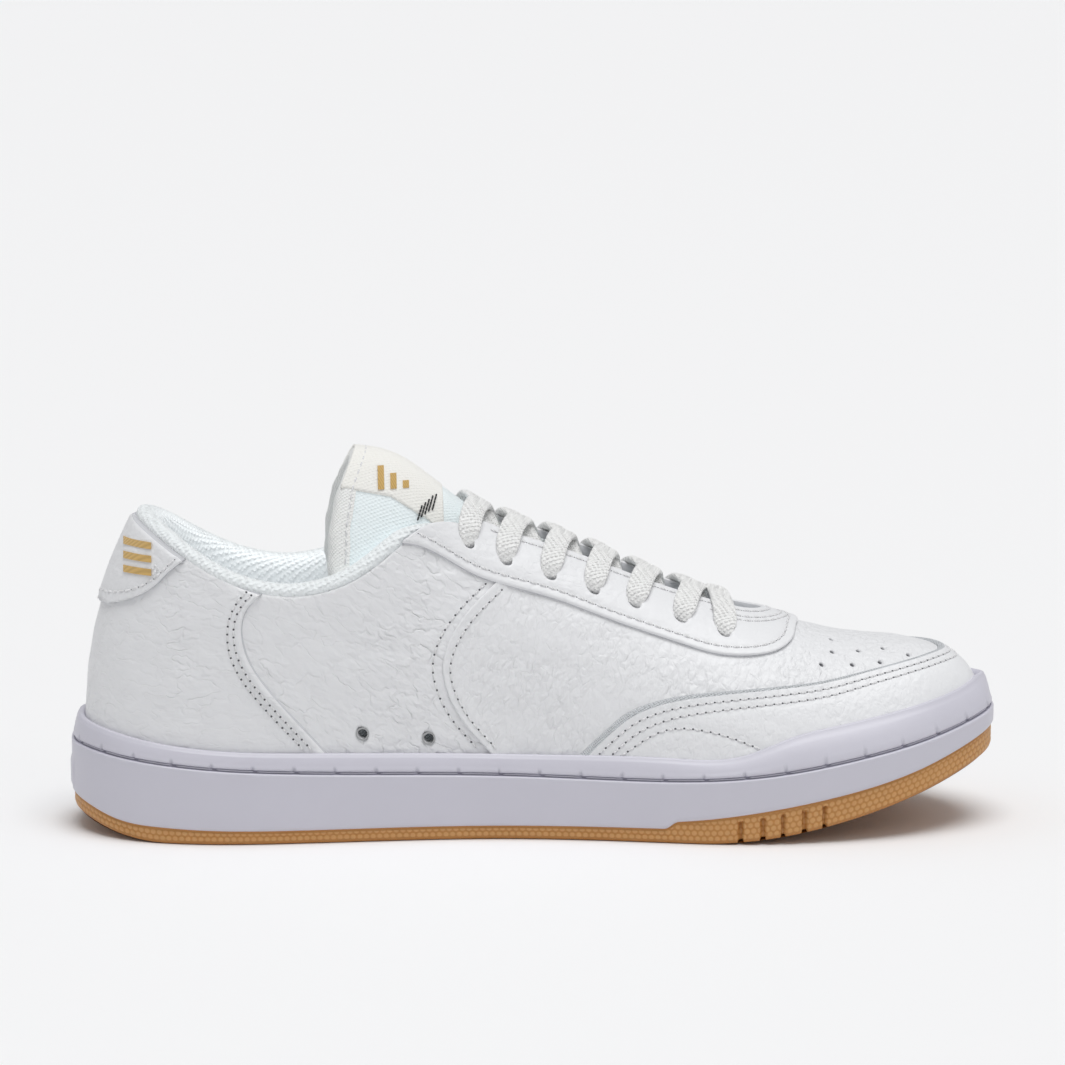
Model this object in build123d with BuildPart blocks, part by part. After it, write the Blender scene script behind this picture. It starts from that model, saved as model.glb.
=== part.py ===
from build123d import *
import math
import os

# Court shoe for the left foot, about EU 42.5. Millimetres, +X towards the toe, +Y towards the
# outer (lateral) side, +Z up. The origin is under the middle of the shoe, on the floor.

os.makedirs("parts", exist_ok=True)

# ---- driving dimensions ----
LENGTH = 297.0
HALF = LENGTH / 2
LAST_INSET = 8.0          # the foot's last lies this far inside the sole's outline
TREAD_INSET = 0.8         # rubber outsole, behind the cupsole's lower band
RAND_INSET = 0.7          # upper part of the cupsole's wall
CUP_WALL = 2.7            # wall of the cupsole, measured from the outline
OUTSOLE_PLATE = 3.5
CUP_FLOOR = 3.0
BOARD = 1.5
SOCKLINER = 4.5
GROOVE_DEPTH = 1.4
GROOVE_HEIGHT = 2.2
THREAD = 1.0
FIT = 0.1                 # gap between neighbouring layers
SEAT = 0.02               # gap between rubber pieces that rest on each other
TREAD_FLAT = 0.3          # how much the moulded tread is ground off to stand flat
HEIGHT = 220.0            # taller than anything here
WIDTH = 90.0              # wider than half of anything here

# Layers of the upper, as distances outward from the last.
LINING = (0.0, 1.0)
STIFFENER = (1.2, 2.0)
LEATHER = (2.2, 3.6)
OVERLAY = (3.7, 5.1)
EMBROIDERY = (5.2, 5.7)
LACE_UNDER = (5.3, 6.4)
LACE_OVER = (6.6, 7.7)
LACE_TAIL = (-1.8, -0.8)
LACE_TIP = (-2.6, -0.3)
COLLAR_SKIN = (-5.9, 3.4)
COLLAR_FOAM = (-5.1, 2.6)
COLLAR_SKIN_THICKNESS = 0.8
COLLAR_RISE = 3.5         # the padded roll stands this far above the leather's edge
COLLAR_DROP = 22.0        # and reaches this far down inside
COLLAR_END = -41.0

LACE_WIDTH = 8.0
EYELET_RADIUS = 2.2
EYELETS = 7
VENT_RADIUS = 2.1
PERFORATION_RADIUS = 0.8
SLOT_WIDTH = 1.3
SLOT_DEPTH = 3.0


# ---- curves that shape the shoe, all along X ----
def smooth(knots):
    """A natural cubic spline through (x, value) knots."""
    xs = [k[0] for k in knots]
    ys = [k[1] for k in knots]
    count = len(xs)
    gaps = [xs[i + 1] - xs[i] for i in range(count - 1)]
    upper = [0.0] * count
    right = [0.0] * count
    for i in range(1, count - 1):
        slope_change = (ys[i + 1] - ys[i]) / gaps[i] - (ys[i] - ys[i - 1]) / gaps[i - 1]
        pivot = 2 * (gaps[i - 1] + gaps[i]) - gaps[i - 1] * upper[i - 1]
        upper[i] = gaps[i] / pivot
        right[i] = (6 * slope_change - gaps[i - 1] * right[i - 1]) / pivot
    bend = [0.0] * count
    for i in range(count - 2, 0, -1):
        bend[i] = right[i] - upper[i] * bend[i + 1]

    def value(x):
        x = min(max(x, xs[0]), xs[-1])
        i = 0
        while i < count - 2 and x > xs[i + 1]:
            i += 1
        u = x - xs[i]
        w = xs[i + 1] - x
        d = gaps[i]
        curve = (bend[i] * w**3 + bend[i + 1] * u**3) / (6 * d)
        return curve + (ys[i] / d - bend[i] * d / 6) * w + (ys[i + 1] / d - bend[i + 1] * d / 6) * u

    return value


def clamp(value, low=0.0, high=1.0):
    return min(max(value, low), high)


def ease(value):
    value = clamp(value)
    return value * value * (3 - 2 * value)


fullness = smooth([
    (-148.5, 31), (-140, 38), (-130, 42), (-118, 43.4), (-105, 43.6), (-80, 42), (-50, 40.8),
    (-20, 41.2), (10, 44.7), (35, 49.8), (55, 54.4), (75, 57.6), (95, 58.8), (112, 58.5),
    (125, 56), (135, 52), (148.5, 46),
])
centre = smooth([
    (-148.5, -2.0), (-90, -2.0), (-20, 2.2), (20, 2.4), (75, -0.3), (110, -2.5), (148.5, -10.5),
])
groove_height = smooth([
    (-148.5, 29), (-125, 26.2), (-95, 23.8), (-50, 22), (0, 20.7), (50, 20.6), (75, 22.8),
    (102, 27.1), (126.7, 32.3), (148.5, 38.2),
])
rand_height = smooth([
    (-148.5, 36.5), (-130, 33), (-105, 30), (-70, 28.6), (-30, 27.6), (0, 27), (40, 26.8),
    (62, 27.6), (80, 33.4), (94.7, 36.3), (118, 40.4), (135, 43.8), (148.5, 47),
])
gum_height = smooth([
    (-148.5, 11.6), (-141, 8.7), (-133, 6.3), (-122, 5.2), (-110, 4.7), (-60, 4.3), (0, 4.5),
    (38, 5), (44, 6.9), (61, 9.2), (76, 11.6), (103, 16.8), (118, 20.8), (148.5, 32),
])
crest_height = smooth([
    (-148.5, 150), (-110, 185), (-75, 165), (-45, 119), (-20, 98), (10, 86.5), (40, 74),
    (60, 67), (76, 62), (95, 56.6), (112, 54.6), (130, 55), (148.5, 55.5),
])
roundness = smooth([
    (-148.5, 2.0), (-100, 2.2), (-40, 2.4), (0, 2.3), (40, 2.0), (70, 1.95), (100, 2.1),
    (125, 2.25), (148.5, 2.3),
])


def ground(x):
    """Underside of the outsole: flat, with a sprung toe and a bevelled heel."""
    return 24.5 * clamp((x - 50) / 98.5, 0, 2) ** 1.75 + 7 * clamp((-118 - x) / 30.5, 0, 2) ** 2


def footbed(x):
    """Underside of the last."""
    return 18 - 4 * ease((x + 60) / 100) + 19.6 * clamp((x - 50) / 98.5, 0, 2) ** 1.75


def cup_floor(x):
    return ground(x) + OUTSOLE_PLATE + FIT + CUP_FLOOR - clamp((x - 100) / 40)


def board_top(x):
    return footbed(x) - BOARD - FIT


def half_width(x, inset):
    half = HALF - inset
    power = 3.5 if x < 0 else 2.5
    return (fullness(x) - inset) * (1 - clamp(abs(x) / half) ** power) ** (1 / power)


# ---- the last: round sections that lean forward at the heel ----
def lean(z):
    return 12 * clamp((z - 30) / 74, 0, 1.1) ** 2


def last_top(x, inset, rise):
    half = HALF - inset
    if x > 0:
        end = (1 - clamp((x - 106) / (half - 106)) ** 2.9) ** (1 / 2.9)
    else:
        end = (1 - clamp(-x / half) ** 3.5) ** (1 / 3.5)
    base = footbed(x) - rise
    return base + (crest_height(x) + rise - base) * end


def station_of(x, z):
    """The upright station that leans forward to x at height z."""
    station = x
    for _ in range(25):
        station = x - lean(z) * ease(-station / 100)
    return station


def half_breadth(x, z, inset, rise):
    """Half the last's breadth at (x, z)."""
    station = station_of(x, z)
    base = footbed(station) - rise
    ratio = clamp((z - base) / max(last_top(station, inset, rise) - base, 0.01))
    power = roundness(station)
    return half_width(station, inset) * (1 - ratio**power) ** (1 / power)


def section(x, offset):
    """Half breadth and height of the grown last's section at x, from its base to its ridge."""
    inset = LAST_INSET - offset
    low = inset - HALF
    high = HALF - inset
    for _ in range(60):
        station = (low + high) / 2
        reach = station + lean(last_top(station, inset, offset)) * ease(-station / 100)
        if reach < x:
            low = station
        else:
            high = station
    ridge = last_top(low, inset, offset)
    base = footbed(x) - offset
    steps = 9
    points = []
    for k in range(steps):
        z = base + (ridge - base) * math.sin(k / steps * math.pi / 2) ** (2 / roundness(x))
        points.append((half_breadth(x, z, inset, offset), z))
    return points + [(0.0, ridge)]


def arch_face(x, points):
    """A D-shaped face across the shoe at x, from one side's points."""
    right = [Vector(x, centre(x) - y, z) for y, z in points]
    left = [Vector(x, centre(x) + y, z) for y, z in points[-2::-1]]
    through = right + left
    even = [k / (len(through) - 1) for k in range(len(through))]
    arch = Edge.make_spline(through, parameters=even)
    return Face(Wire([arch, Edge.make_line(arch @ 1, arch @ 0)]))


def loft_arches(arches):
    """A solid through D-shaped sections, given as x and one side's points."""
    with BuildPart() as solid:
        loft(sections=[arch_face(x, points) for x, points in arches])
    return solid.part


def last_solid(offset):
    """The last, grown by an offset."""
    half = HALF - LAST_INSET + offset
    count = 23
    turns = [(k / (count - 1) - 0.5) * math.pi * 0.974 for k in range(count)]
    xs = [half * math.sin(turn) for turn in turns]
    return loft_arches([(x, section(x, offset)) for x in xs])


grown_solids = {}


def grown(offset):
    """The last grown evenly by an offset. Each size is made once."""
    if offset not in grown_solids:
        grown_solids[offset] = last_solid(offset)
    return grown_solids[offset]


# ---- seam lines, as (x, z) points seen from the side ----
TOPLINE = [
    (-142, 107), (-127.5, 100), (-111.1, 89.3), (-99.2, 82.9), (-77.1, 78.2), (-56.6, 83.8),
    (-43.2, 93.2), (-33.1, 98.1), (-23.3, 97), (-14, 98),
]
HEEL_SEAM = [(-83, 88), (-91.5, 75), (-93.1, 63.9), (-85.8, 49.8), (-72.3, 34.2), (-58, 17.5)]
TAB_EDGE = [(-105, 96), (-115.4, 86.2), (-125.1, 78), (-138.2, 73.5), (-152, 73)]
MID_SEAM = [
    (2, 100), (-4.5, 86), (-19.9, 74), (-29.3, 60.4), (-29.6, 48.9), (-22.8, 35.7),
    (-14.8, 26.5), (-7.5, 15.5),
]
EYESTAY_EDGE = [
    (-50, 95), (-42.8, 93.2), (-28, 87.2), (-12.2, 79.6), (3.3, 75.2), (18, 69.9),
    (44.3, 60.8), (65, 56.4), (74.4, 56.9), (81.3, 59.4), (84.5, 66),
]
GUARD_EDGE = [
    (5, 15.5), (11.9, 25.6), (21, 35), (35.5, 43.5), (57.7, 46.7), (91.1, 48.8), (114, 52.4), (131, 57),
]
EYELET_POINTS = [
    (59.5, 62.8), (45.8, 67.3), (31.1, 72.2), (18, 76.8), (4.3, 81.5), (-9.7, 86.3), (-21.5, 91.9),
]
VENT_POINTS = [(-56.1, 34.1), (-35.1, 32.1)]
PERFORATION_POINTS = [
    (95.9, 12), (95.2, 20), (91, 26.7), (103.9, 17.2), (101.1, 24.6), (112.2, 14.1),
    (110.3, 21.9), (120, 16),
]
SLOT_POSITIONS = [62.4, 69.5, 76, 82.9, 89.4]
THROAT_FRONT = 74.0
THROAT_BACK = -60.0
THROAT_HALF_BACK = 14.0
THROAT_HALF_FRONT = 11.0
TONGUE_LOW = [(80, 49), (40, 59), (0, 71), (-30, 80), (-48, 78), (-64, 74)]
TONGUE_REAR = [(-64, 74), (-66, 85), (-65.5, 97), (-63, 110), (-59, 119), (-56, 125)]
LABEL_EDGE = [(-61, 109.5), (-46, 106.3), (-34, 98.5), (-29, 93)]
TONGUE_FRONT = 80.0

tongue_ridge = smooth([
    (-72, 121.5), (-60, 120.8), (-50, 119.6), (-40, 115.5), (-30, 108), (-20, 100.5),
    (-10, 92.6), (10, 84.8), (40, 72.3), (60, 65.3), (76, 60.3), (90, 56.7),
])


def lift(points, height):
    return [(x, z + height) for x, z in points]


def band(lower, upper, first=-HALF - 2, final=HALF + 2):
    """A side view face between two curves along X."""
    count = 26
    xs = [first + (final - first) * k / (count - 1) for k in range(count)]
    with BuildSketch(Plane.XZ) as face:
        with BuildLine():
            below = Spline(*[(x, lower(x)) for x in xs])
            above = Spline(*[(x, upper(x)) for x in xs])
            Line(below @ 0, above @ 0)
            Line(below @ 1, above @ 1)
        make_face()
    return face.sketch


def outline(inset):
    """The sole's plan shape, drawn in by an inset."""
    half = HALF - inset
    count = 30
    turns = [(k / (count - 1) - 0.5) * math.pi for k in range(count)]
    xs = [half * math.sin(turn) for turn in turns]
    right = [(x, centre(x) - half_width(x, inset)) for x in xs]
    left = [(x, centre(x) + half_width(x, inset)) for x in xs]
    with BuildSketch(Plane.XY.offset(-20)) as face:
        with BuildLine():
            Spline(*right, *left[-2:0:-1], periodic=True)
        make_face()
    return face.sketch


def sole_slab(inset, lower, upper):
    """The sole's plan shape between two heights that change along X."""
    with BuildPart() as slab:
        extrude(band(lower, upper), amount=WIDTH, both=True)
        extrude(outline(inset), amount=HEIGHT, dir=(0, 0, 1), mode=Mode.INTERSECT)
    return slab.part


def sole_skin(depth, lower, upper):
    """What lies outside an inset outline of the sole, between two heights."""
    with BuildPart() as skin:
        add(sole_slab(-2, lower, upper))
        add(sole_slab(depth, ground, beyond), mode=Mode.SUBTRACT)
    return skin.part


def around_groove(height):
    """Heights below and above the middle of the groove in the cupsole."""
    return lambda x: groove_height(x) - height / 2, lambda x: groove_height(x) + height / 2


def side_region(*edges):
    """A side view face whose outline runs through curves and corners in turn."""
    with BuildSketch(Plane.XZ) as face:
        with BuildLine():
            ends = []
            for edge in edges:
                if len(edge) == 1:
                    ends.append((Vector(*edge[0]), Vector(*edge[0])))
                    continue
                curve = Spline(*edge)
                ends.append((curve @ 0, curve @ 1))
            for k, (_, finish) in enumerate(ends):
                start = ends[(k + 1) % len(ends)][0]
                if (start - finish).length > 1e-6:
                    Line(finish, start)
        make_face()
    return face.sketch


def lasting_edge(first, final):
    """The upper's lower edge, along the top of the board."""
    count = max(3, int(abs(final - first) / 14))
    xs = [first + (final - first) * k / (count - 1) for k in range(count)]
    return [(x, board_top(x) + FIT) for x in xs]


def trim_to_layer(layer):
    """Keep what lies in one layer of the upper."""
    add(grown(layer[1]), mode=Mode.INTERSECT)
    add(grown(layer[0]), mode=Mode.SUBTRACT)


def mouth():
    """Side view of what the foot's opening cuts away."""
    return side_region(TOPLINE, [(-10, 103)], [(-10, HEIGHT)], [(-170, HEIGHT)], [(-170, 107)])


def throat():
    """Plan shape of the slot that the tongue and laces fill, with a round front end."""
    shift = centre(20)
    nose = THROAT_FRONT - THROAT_HALF_FRONT
    with BuildSketch(Plane.XY.offset(40)) as face:
        with BuildLine():
            one = Line((THROAT_BACK, shift - THROAT_HALF_BACK), (nose, shift - THROAT_HALF_FRONT))
            tip = ThreePointArc(one @ 1, (THROAT_FRONT, shift), (nose, shift + THROAT_HALF_FRONT))
            other = Line(tip @ 1, (THROAT_BACK, shift + THROAT_HALF_BACK))
            Line(other @ 1, one @ 0)
        make_face()
    return face.sketch


def wall_point(x, z, offset, side):
    """A point on the grown last at (x, z). Side is -1 for medial and 1 for lateral."""
    breadth = half_breadth(x, z, LAST_INSET - offset, offset)
    return Vector(x, centre(station_of(x, z)) + side * breadth, z)


def wall_plane(x, z, offset, side):
    """A plane on the grown last at (x, z), facing outwards."""
    here = wall_point(x, z, offset, side)
    along = wall_point(x + 1, z, offset, side) - wall_point(x - 1, z, offset, side)
    up = wall_point(x, z + 1, offset, side) - wall_point(x, z - 1, offset, side)
    outward = along.cross(up) * (-side)
    return Plane(origin=here, x_dir=along.normalized(), z_dir=outward.normalized())


def drill(planes, radius, depth=12.0):
    """Round holes through the upper, each along its own plane's normal."""
    holes = [plane.location * Cylinder(radius, depth, mode=Mode.PRIVATE) for plane in planes]
    add(holes, mode=Mode.SUBTRACT)


def ridge_plane(x, y, offset):
    """A plane on top of the toe at (x, y) from the centre line, facing up."""
    top = last_top(x, LAST_INSET - offset, offset)
    base = footbed(x) - offset
    power = roundness(x)
    share = clamp(abs(y) / half_width(x, LAST_INSET - offset))
    z = base + (top - base) * (1 - share**power) ** (1 / power)
    return Plane(origin=(x, centre(x) + y, z), x_dir=(1, 0, 0), z_dir=(0, y / 80, 1))


eyelet_planes = [wall_plane(x, z, LEATHER[1], side) for x, z in EYELET_POINTS for side in (-1, 1)]
vent_planes = [wall_plane(x, z, LEATHER[0], -1) for x, z in VENT_POINTS]
perforation_planes = [
    ridge_plane(x, y * side, LEATHER[1]) for x, y in PERFORATION_POINTS for side in (-1, 1)
]


# ---- sole ----
def beyond(x):
    return HEIGHT - 50


with BuildPart() as outsole:
    add(sole_slab(TREAD_INSET, lambda x: ground(x) - TREAD_FLAT, gum_height))
    with Locations((0, 0, -HEIGHT / 2)):
        Box(2 * HEIGHT, 2 * WIDTH, HEIGHT, mode=Mode.SUBTRACT)
    add(sole_slab(TREAD_INSET + CUP_WALL, lambda x: ground(x) + OUTSOLE_PLATE, beyond), mode=Mode.SUBTRACT)
    slots = []
    for x in SLOT_POSITIONS:
        for side in (-1, 1):
            y = centre(x) + side * (half_width(x, TREAD_INSET + SLOT_DEPTH) + 5)
            top = gum_height(x) - 1.2
            slots.append(Location((x, y, top / 2 - 5)) * Box(SLOT_WIDTH, 10, top + 10, mode=Mode.PRIVATE))
    add(slots, mode=Mode.SUBTRACT)
outsole.part.label = "outsole"
export_step(outsole.part, "parts/outsole.step")

with BuildPart() as cupsole:
    add(sole_slab(0, lambda x: gum_height(x) + SEAT, rand_height))
    add(sole_slab(CUP_WALL, cup_floor, beyond), mode=Mode.SUBTRACT)
    add(sole_slab(TREAD_INSET + CUP_WALL + FIT, lambda x: ground(x) + OUTSOLE_PLATE + FIT, cup_floor))
    add(sole_skin(RAND_INSET, groove_height, beyond), mode=Mode.SUBTRACT)
    add(sole_skin(GROOVE_DEPTH, *around_groove(GROOVE_HEIGHT)), mode=Mode.SUBTRACT)
cupsole.part.label = "cupsole"
export_step(cupsole.part, "parts/cupsole.step")

with BuildPart() as sole_thread:
    add(sole_slab(GROOVE_DEPTH - THREAD, *around_groove(THREAD)))
    add(sole_slab(GROOVE_DEPTH, ground, beyond), mode=Mode.SUBTRACT)
sole_thread.part.label = "sole_thread"
export_step(sole_thread.part, "parts/sole_thread.step")

with BuildPart() as midsole_wedge:
    wedge_top = lambda x: board_top(x) - BOARD - SEAT
    add(sole_slab(TREAD_INSET + CUP_WALL + 0.5, lambda x: cup_floor(x) + SEAT, wedge_top))
    with Locations((0, 0, 20)):
        Box(2 * 108, 2 * WIDTH, 60, mode=Mode.INTERSECT)
midsole_wedge.part.label = "midsole_wedge"
export_step(midsole_wedge.part, "parts/midsole_wedge.step")

with BuildPart() as lasting_board:
    add(sole_slab(CUP_WALL + 1.5, lambda x: board_top(x) - BOARD, board_top))
lasting_board.part.label = "lasting_board"
export_step(lasting_board.part, "parts/lasting_board.step")

with BuildPart() as sockliner:
    add(sole_slab(LAST_INSET + 1.5, lambda x: footbed(x) + FIT, lambda x: footbed(x) + FIT + SOCKLINER))
sockliner.part.label = "sockliner"
export_step(sockliner.part, "parts/sockliner.step")


# ---- upper: one flat side view region per piece, trimmed to its layer ----
def side_block(face, side=0):
    """A side view face made solid: across the whole shoe, or on the -1 medial or 1 lateral side."""
    if side == 0:
        extrude(face, amount=WIDTH, both=True)
    else:
        extrude(face, amount=WIDTH, dir=(0, side, 0))


def trimmed_block(face, layer, side=0):
    """A side view region that lies in one layer, as a solid of its own."""
    with BuildPart() as block:
        side_block(face, side)
        trim_to_layer(layer)
    return block.part


def clip(face):
    """Keep what lies inside a side view face."""
    with BuildPart() as block:
        extrude(face, amount=WIDTH, both=True)
    add(block.part, mode=Mode.INTERSECT)


def cut_mouth():
    extrude(mouth(), amount=WIDTH, both=True, mode=Mode.SUBTRACT)


def cut_throat():
    extrude(throat(), amount=HEIGHT, dir=(0, 0, 1), mode=Mode.SUBTRACT)


with BuildPart() as quarter_lining:
    side_block(side_region(TOPLINE, [(-10, 103)], [(0, 103)], [(0, 2)], [(-160, 2)], [(-160, 107)]))
    trim_to_layer(LINING)
    cut_throat()
    drill(eyelet_planes, EYELET_RADIUS)
quarter_lining.part.label = "quarter_lining"
export_step(quarter_lining.part, "parts/quarter_lining.step")

with BuildPart() as vamp_lining:
    side_block(side_region([(0, 2)], [(0, 103)], [(150, 103)], [(150, 2)]))
    trim_to_layer(LINING)
    cut_throat()
    drill(eyelet_planes, EYELET_RADIUS)
vamp_lining.part.label = "vamp_lining"
export_step(vamp_lining.part, "parts/vamp_lining.step")

with BuildPart() as heel_counter:
    side_block(side_region([(-100, 68)], [(-84, 40)], [(-70, 21)], [(-150, 21)], [(-150, 68)]))
    trim_to_layer(STIFFENER)
heel_counter.part.label = "heel_counter"
export_step(heel_counter.part, "parts/heel_counter.step")

with BuildPart() as toe_puff:
    side_block(side_region([(112, 28)], [(106, 60)], [(150, 60)], [(150, 35)]))
    trim_to_layer(STIFFENER)
toe_puff.part.label = "toe_puff"
export_step(toe_puff.part, "parts/toe_puff.step")

with BuildPart() as vamp:
    side_block(side_region(MID_SEAM, lasting_edge(-6, 150), [(150, 130)], [(2, 130)]))
    trim_to_layer(LEATHER)
    cut_throat()
    drill(eyelet_planes, EYELET_RADIUS)
    drill(perforation_planes, PERFORATION_RADIUS, 5)
vamp.part.label = "vamp"
export_step(vamp.part, "parts/vamp.step")

quarter_side = side_region(
    MID_SEAM, lasting_edge(-6, -56), HEEL_SEAM[::-1], [(-83, 130)], [(2, 130)],
)

with BuildPart() as quarter_medial:
    side_block(quarter_side, -1)
    trim_to_layer(LEATHER)
    cut_mouth()
    cut_throat()
    drill(eyelet_planes, EYELET_RADIUS)
    drill(vent_planes, VENT_RADIUS, 5)
quarter_medial.part.label = "quarter_medial"
export_step(quarter_medial.part, "parts/quarter_medial.step")

with BuildPart() as quarter_lateral:
    side_block(quarter_side, 1)
    trim_to_layer(LEATHER)
    cut_mouth()
    cut_throat()
    drill(eyelet_planes, EYELET_RADIUS)
quarter_lateral.part.label = "quarter_lateral"
export_step(quarter_lateral.part, "parts/quarter_lateral.step")

with BuildPart() as heel_panel:
    side_block(side_region(HEEL_SEAM, lasting_edge(-56, -150), [(-150, 130)], [(-83, 130)]))
    trim_to_layer(LEATHER)
    cut_mouth()
heel_panel.part.label = "heel_panel"
export_step(heel_panel.part, "parts/heel_panel.step")

with BuildPart() as heel_tab:
    side_block(side_region(TAB_EDGE, [(-152, 120)], [(-105, 120)]))
    trim_to_layer(OVERLAY)
    cut_mouth()
heel_tab.part.label = "heel_tab"
export_step(heel_tab.part, "parts/heel_tab.step")

with BuildPart() as eyestay:
    side_block(side_region(EYESTAY_EDGE, [(84.5, 120)], [(-50, 120)]))
    trim_to_layer(OVERLAY)
    cut_mouth()
    cut_throat()
    drill(eyelet_planes, EYELET_RADIUS)
eyestay.part.label = "eyestay"
export_step(eyestay.part, "parts/eyestay.step")

with BuildPart() as toe_guard:
    side_block(side_region(GUARD_EDGE, [(131, 80)], [(152, 80)], lasting_edge(152, 4)))
    trim_to_layer(OVERLAY)
toe_guard.part.label = "toe_guard"
export_step(toe_guard.part, "parts/toe_guard.step")

with BuildPart() as vent_rings:
    for plane in vent_planes:
        with BuildSketch(plane):
            Circle(VENT_RADIUS)
            Circle(VENT_RADIUS - 0.5, mode=Mode.SUBTRACT)
        extrude(amount=LEATHER[1] - LEATHER[0] + 0.2)
vent_rings.part.label = "vent_rings"
export_step(vent_rings.part, "parts/vent_rings.step")

with BuildPart() as vent_mesh:
    for plane in vent_planes:
        with BuildSketch(plane.offset(-0.7)):
            Circle(VENT_RADIUS + 1)
        extrude(amount=0.4)
vent_mesh.part.label = "vent_mesh"
export_step(vent_mesh.part, "parts/vent_mesh.step")


# ---- collar: foam in a knitted skin, a roll above the leather's edge and a pad inside it ----
def collar_ring(face, layer):
    with BuildPart() as ring:
        side_block(face)
        trim_to_layer(layer)
        clip(side_region([(COLLAR_END, 0)], [(COLLAR_END, 130)], [(-150, 130)], [(-150, 0)]))
    return ring.part


def collar_band(low, high):
    return side_region(lift(TOPLINE, low), lift(TOPLINE, high)[::-1])


skin = COLLAR_SKIN_THICKNESS
with BuildPart() as collar_foam:
    add(collar_ring(collar_band(0, COLLAR_RISE - skin), COLLAR_FOAM))
    add(collar_ring(collar_band(skin - COLLAR_DROP, 0), (COLLAR_FOAM[0], -FIT - skin)))
collar_foam.part.label = "collar_foam"
export_step(collar_foam.part, "parts/collar_foam.step")

with BuildPart() as collar_lining:
    add(collar_ring(collar_band(0.05, COLLAR_RISE), COLLAR_SKIN))
    add(collar_ring(collar_band(-COLLAR_DROP, 0.05), (COLLAR_SKIN[0], -FIT)))
    add(collar_foam.part, mode=Mode.SUBTRACT)
collar_lining.part.label = "collar_lining"
export_step(collar_lining.part, "parts/collar_lining.step")


# ---- tongue: foam between a face and a lining, bound along its free edge ----
def tongue_section(x, depth):
    """One side of the tongue's arch at x, at a depth under its face."""
    side = -2.3 - 4.7 * ease((-8 - x) / 30) - depth
    ridge = tongue_ridge(x) - depth
    low = 46 + 34 * ease((88 - x) / 118)
    base = footbed(x) + depth
    power = roundness(x)
    share = ((low - base) / (ridge - base)) ** power
    reach = half_breadth(x, low, LAST_INSET - side, side) / (1 - share) ** (1 / power)
    steps = 9
    turns = [k / steps * math.pi / 2 for k in range(steps + 1)]
    return [
        (
            reach * max(math.cos(turn), 0) ** (2 / power),
            base + (ridge - base) * math.sin(turn) ** (2 / power),
        )
        for turn in turns
    ]


def tongue_solid(depth):
    count = 15
    back = -84
    front = TONGUE_FRONT + 6
    xs = [back + (front - back) * k / (count - 1) for k in range(count)]
    return loft_arches([(x, tongue_section(x, depth)) for x in xs])


def tongue_layer(face, outer, inner):
    with BuildPart() as layer:
        side_block(face)
        add(tongue_solid(outer), mode=Mode.INTERSECT)
        add(tongue_solid(inner), mode=Mode.SUBTRACT)
    return layer.part


tongue_side = side_region(TONGUE_LOW, TONGUE_REAR, [(80, 130)])
TONGUE_FACE = 1.0
TONGUE_FOAM = 4.6
TONGUE_BACK = 0.8

with BuildPart() as tongue_face:
    add(tongue_layer(tongue_side, 0, TONGUE_FACE))
tongue_face.part.label = "tongue_face"
export_step(tongue_face.part, "parts/tongue_face.step")

with BuildPart() as tongue_foam:
    add(tongue_layer(tongue_side, TONGUE_FACE + FIT, TONGUE_FACE + TONGUE_FOAM))
tongue_foam.part.label = "tongue_foam"
export_step(tongue_foam.part, "parts/tongue_foam.step")

with BuildPart() as tongue_lining:
    lining_depth = TONGUE_FACE + TONGUE_FOAM + FIT
    add(tongue_layer(tongue_side, lining_depth, lining_depth + TONGUE_BACK))
tongue_lining.part.label = "tongue_lining"
export_step(tongue_lining.part, "parts/tongue_lining.step")

with BuildPart() as tongue_binding:
    back_edge = [(x - 1.4, z) for x, z in TONGUE_REAR]
    near_edge = [(x - 0.05, z) for x, z in TONGUE_REAR]
    add(tongue_layer(side_region(near_edge, back_edge[::-1]), -0.4, lining_depth + TONGUE_BACK + 0.4))
tongue_binding.part.label = "tongue_binding"
export_step(tongue_binding.part, "parts/tongue_binding.step")

with BuildPart() as tongue_label:
    label_side = side_region(LABEL_EDGE, [(-20, 105)], [(-20, 130)], [(-53, 130)], [(-57, 119.5)])
    add(tongue_layer(label_side, -0.7, -0.1))
tongue_label.part.label = "tongue_label"
export_step(tongue_label.part, "parts/tongue_label.step")

with BuildPart() as tongue_motif:
    for x in (-50, -46, -42):
        top = 116 - 0.6 * (x + 50)
        bar = side_region([(x, 109)], [(x + 2, 109)], [(x + 2, top)], [(x, top)])
        add(tongue_layer(bar, -1.2, -0.8))
tongue_motif.part.label = "tongue_motif"
export_step(tongue_motif.part, "parts/tongue_motif.step")

with BuildPart() as heel_motif:
    for z in (84, 88, 92):
        bar = side_region([(-131, z)], [(-122, z)], [(-122, z + 2)], [(-131, z + 2)])
        add(trimmed_block(bar, EMBROIDERY))
heel_motif.part.label = "heel_motif"
export_step(heel_motif.part, "parts/heel_motif.step")


# ---- lace: one bar at the front, then crossings back to the ankle, tails tucked inside ----
def lace_strip(start, end):
    """Plan shape of a flat lace from one eyelet to another."""
    run = end - start
    middle = (start + end) / 2
    turn = math.degrees(math.atan2(run.Y, run.X))
    flat = math.hypot(run.X, run.Y)
    with BuildSketch(Plane.XY.offset(40)) as face:
        with Locations((middle.X, middle.Y)):
            SlotCenterToCenter(flat, LACE_WIDTH, rotation=turn)
    return face.sketch


def lace_run(start, end, layer):
    with BuildPart() as run:
        extrude(lace_strip(start, end), amount=HEIGHT - 60, dir=(0, 0, 1))
        trim_to_layer(layer)
    return run.part


medial = [wall_point(x, z, OVERLAY[1], -1) for x, z in EYELET_POINTS]
lateral = [wall_point(x, z, OVERLAY[1], 1) for x, z in EYELET_POINTS]

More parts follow.
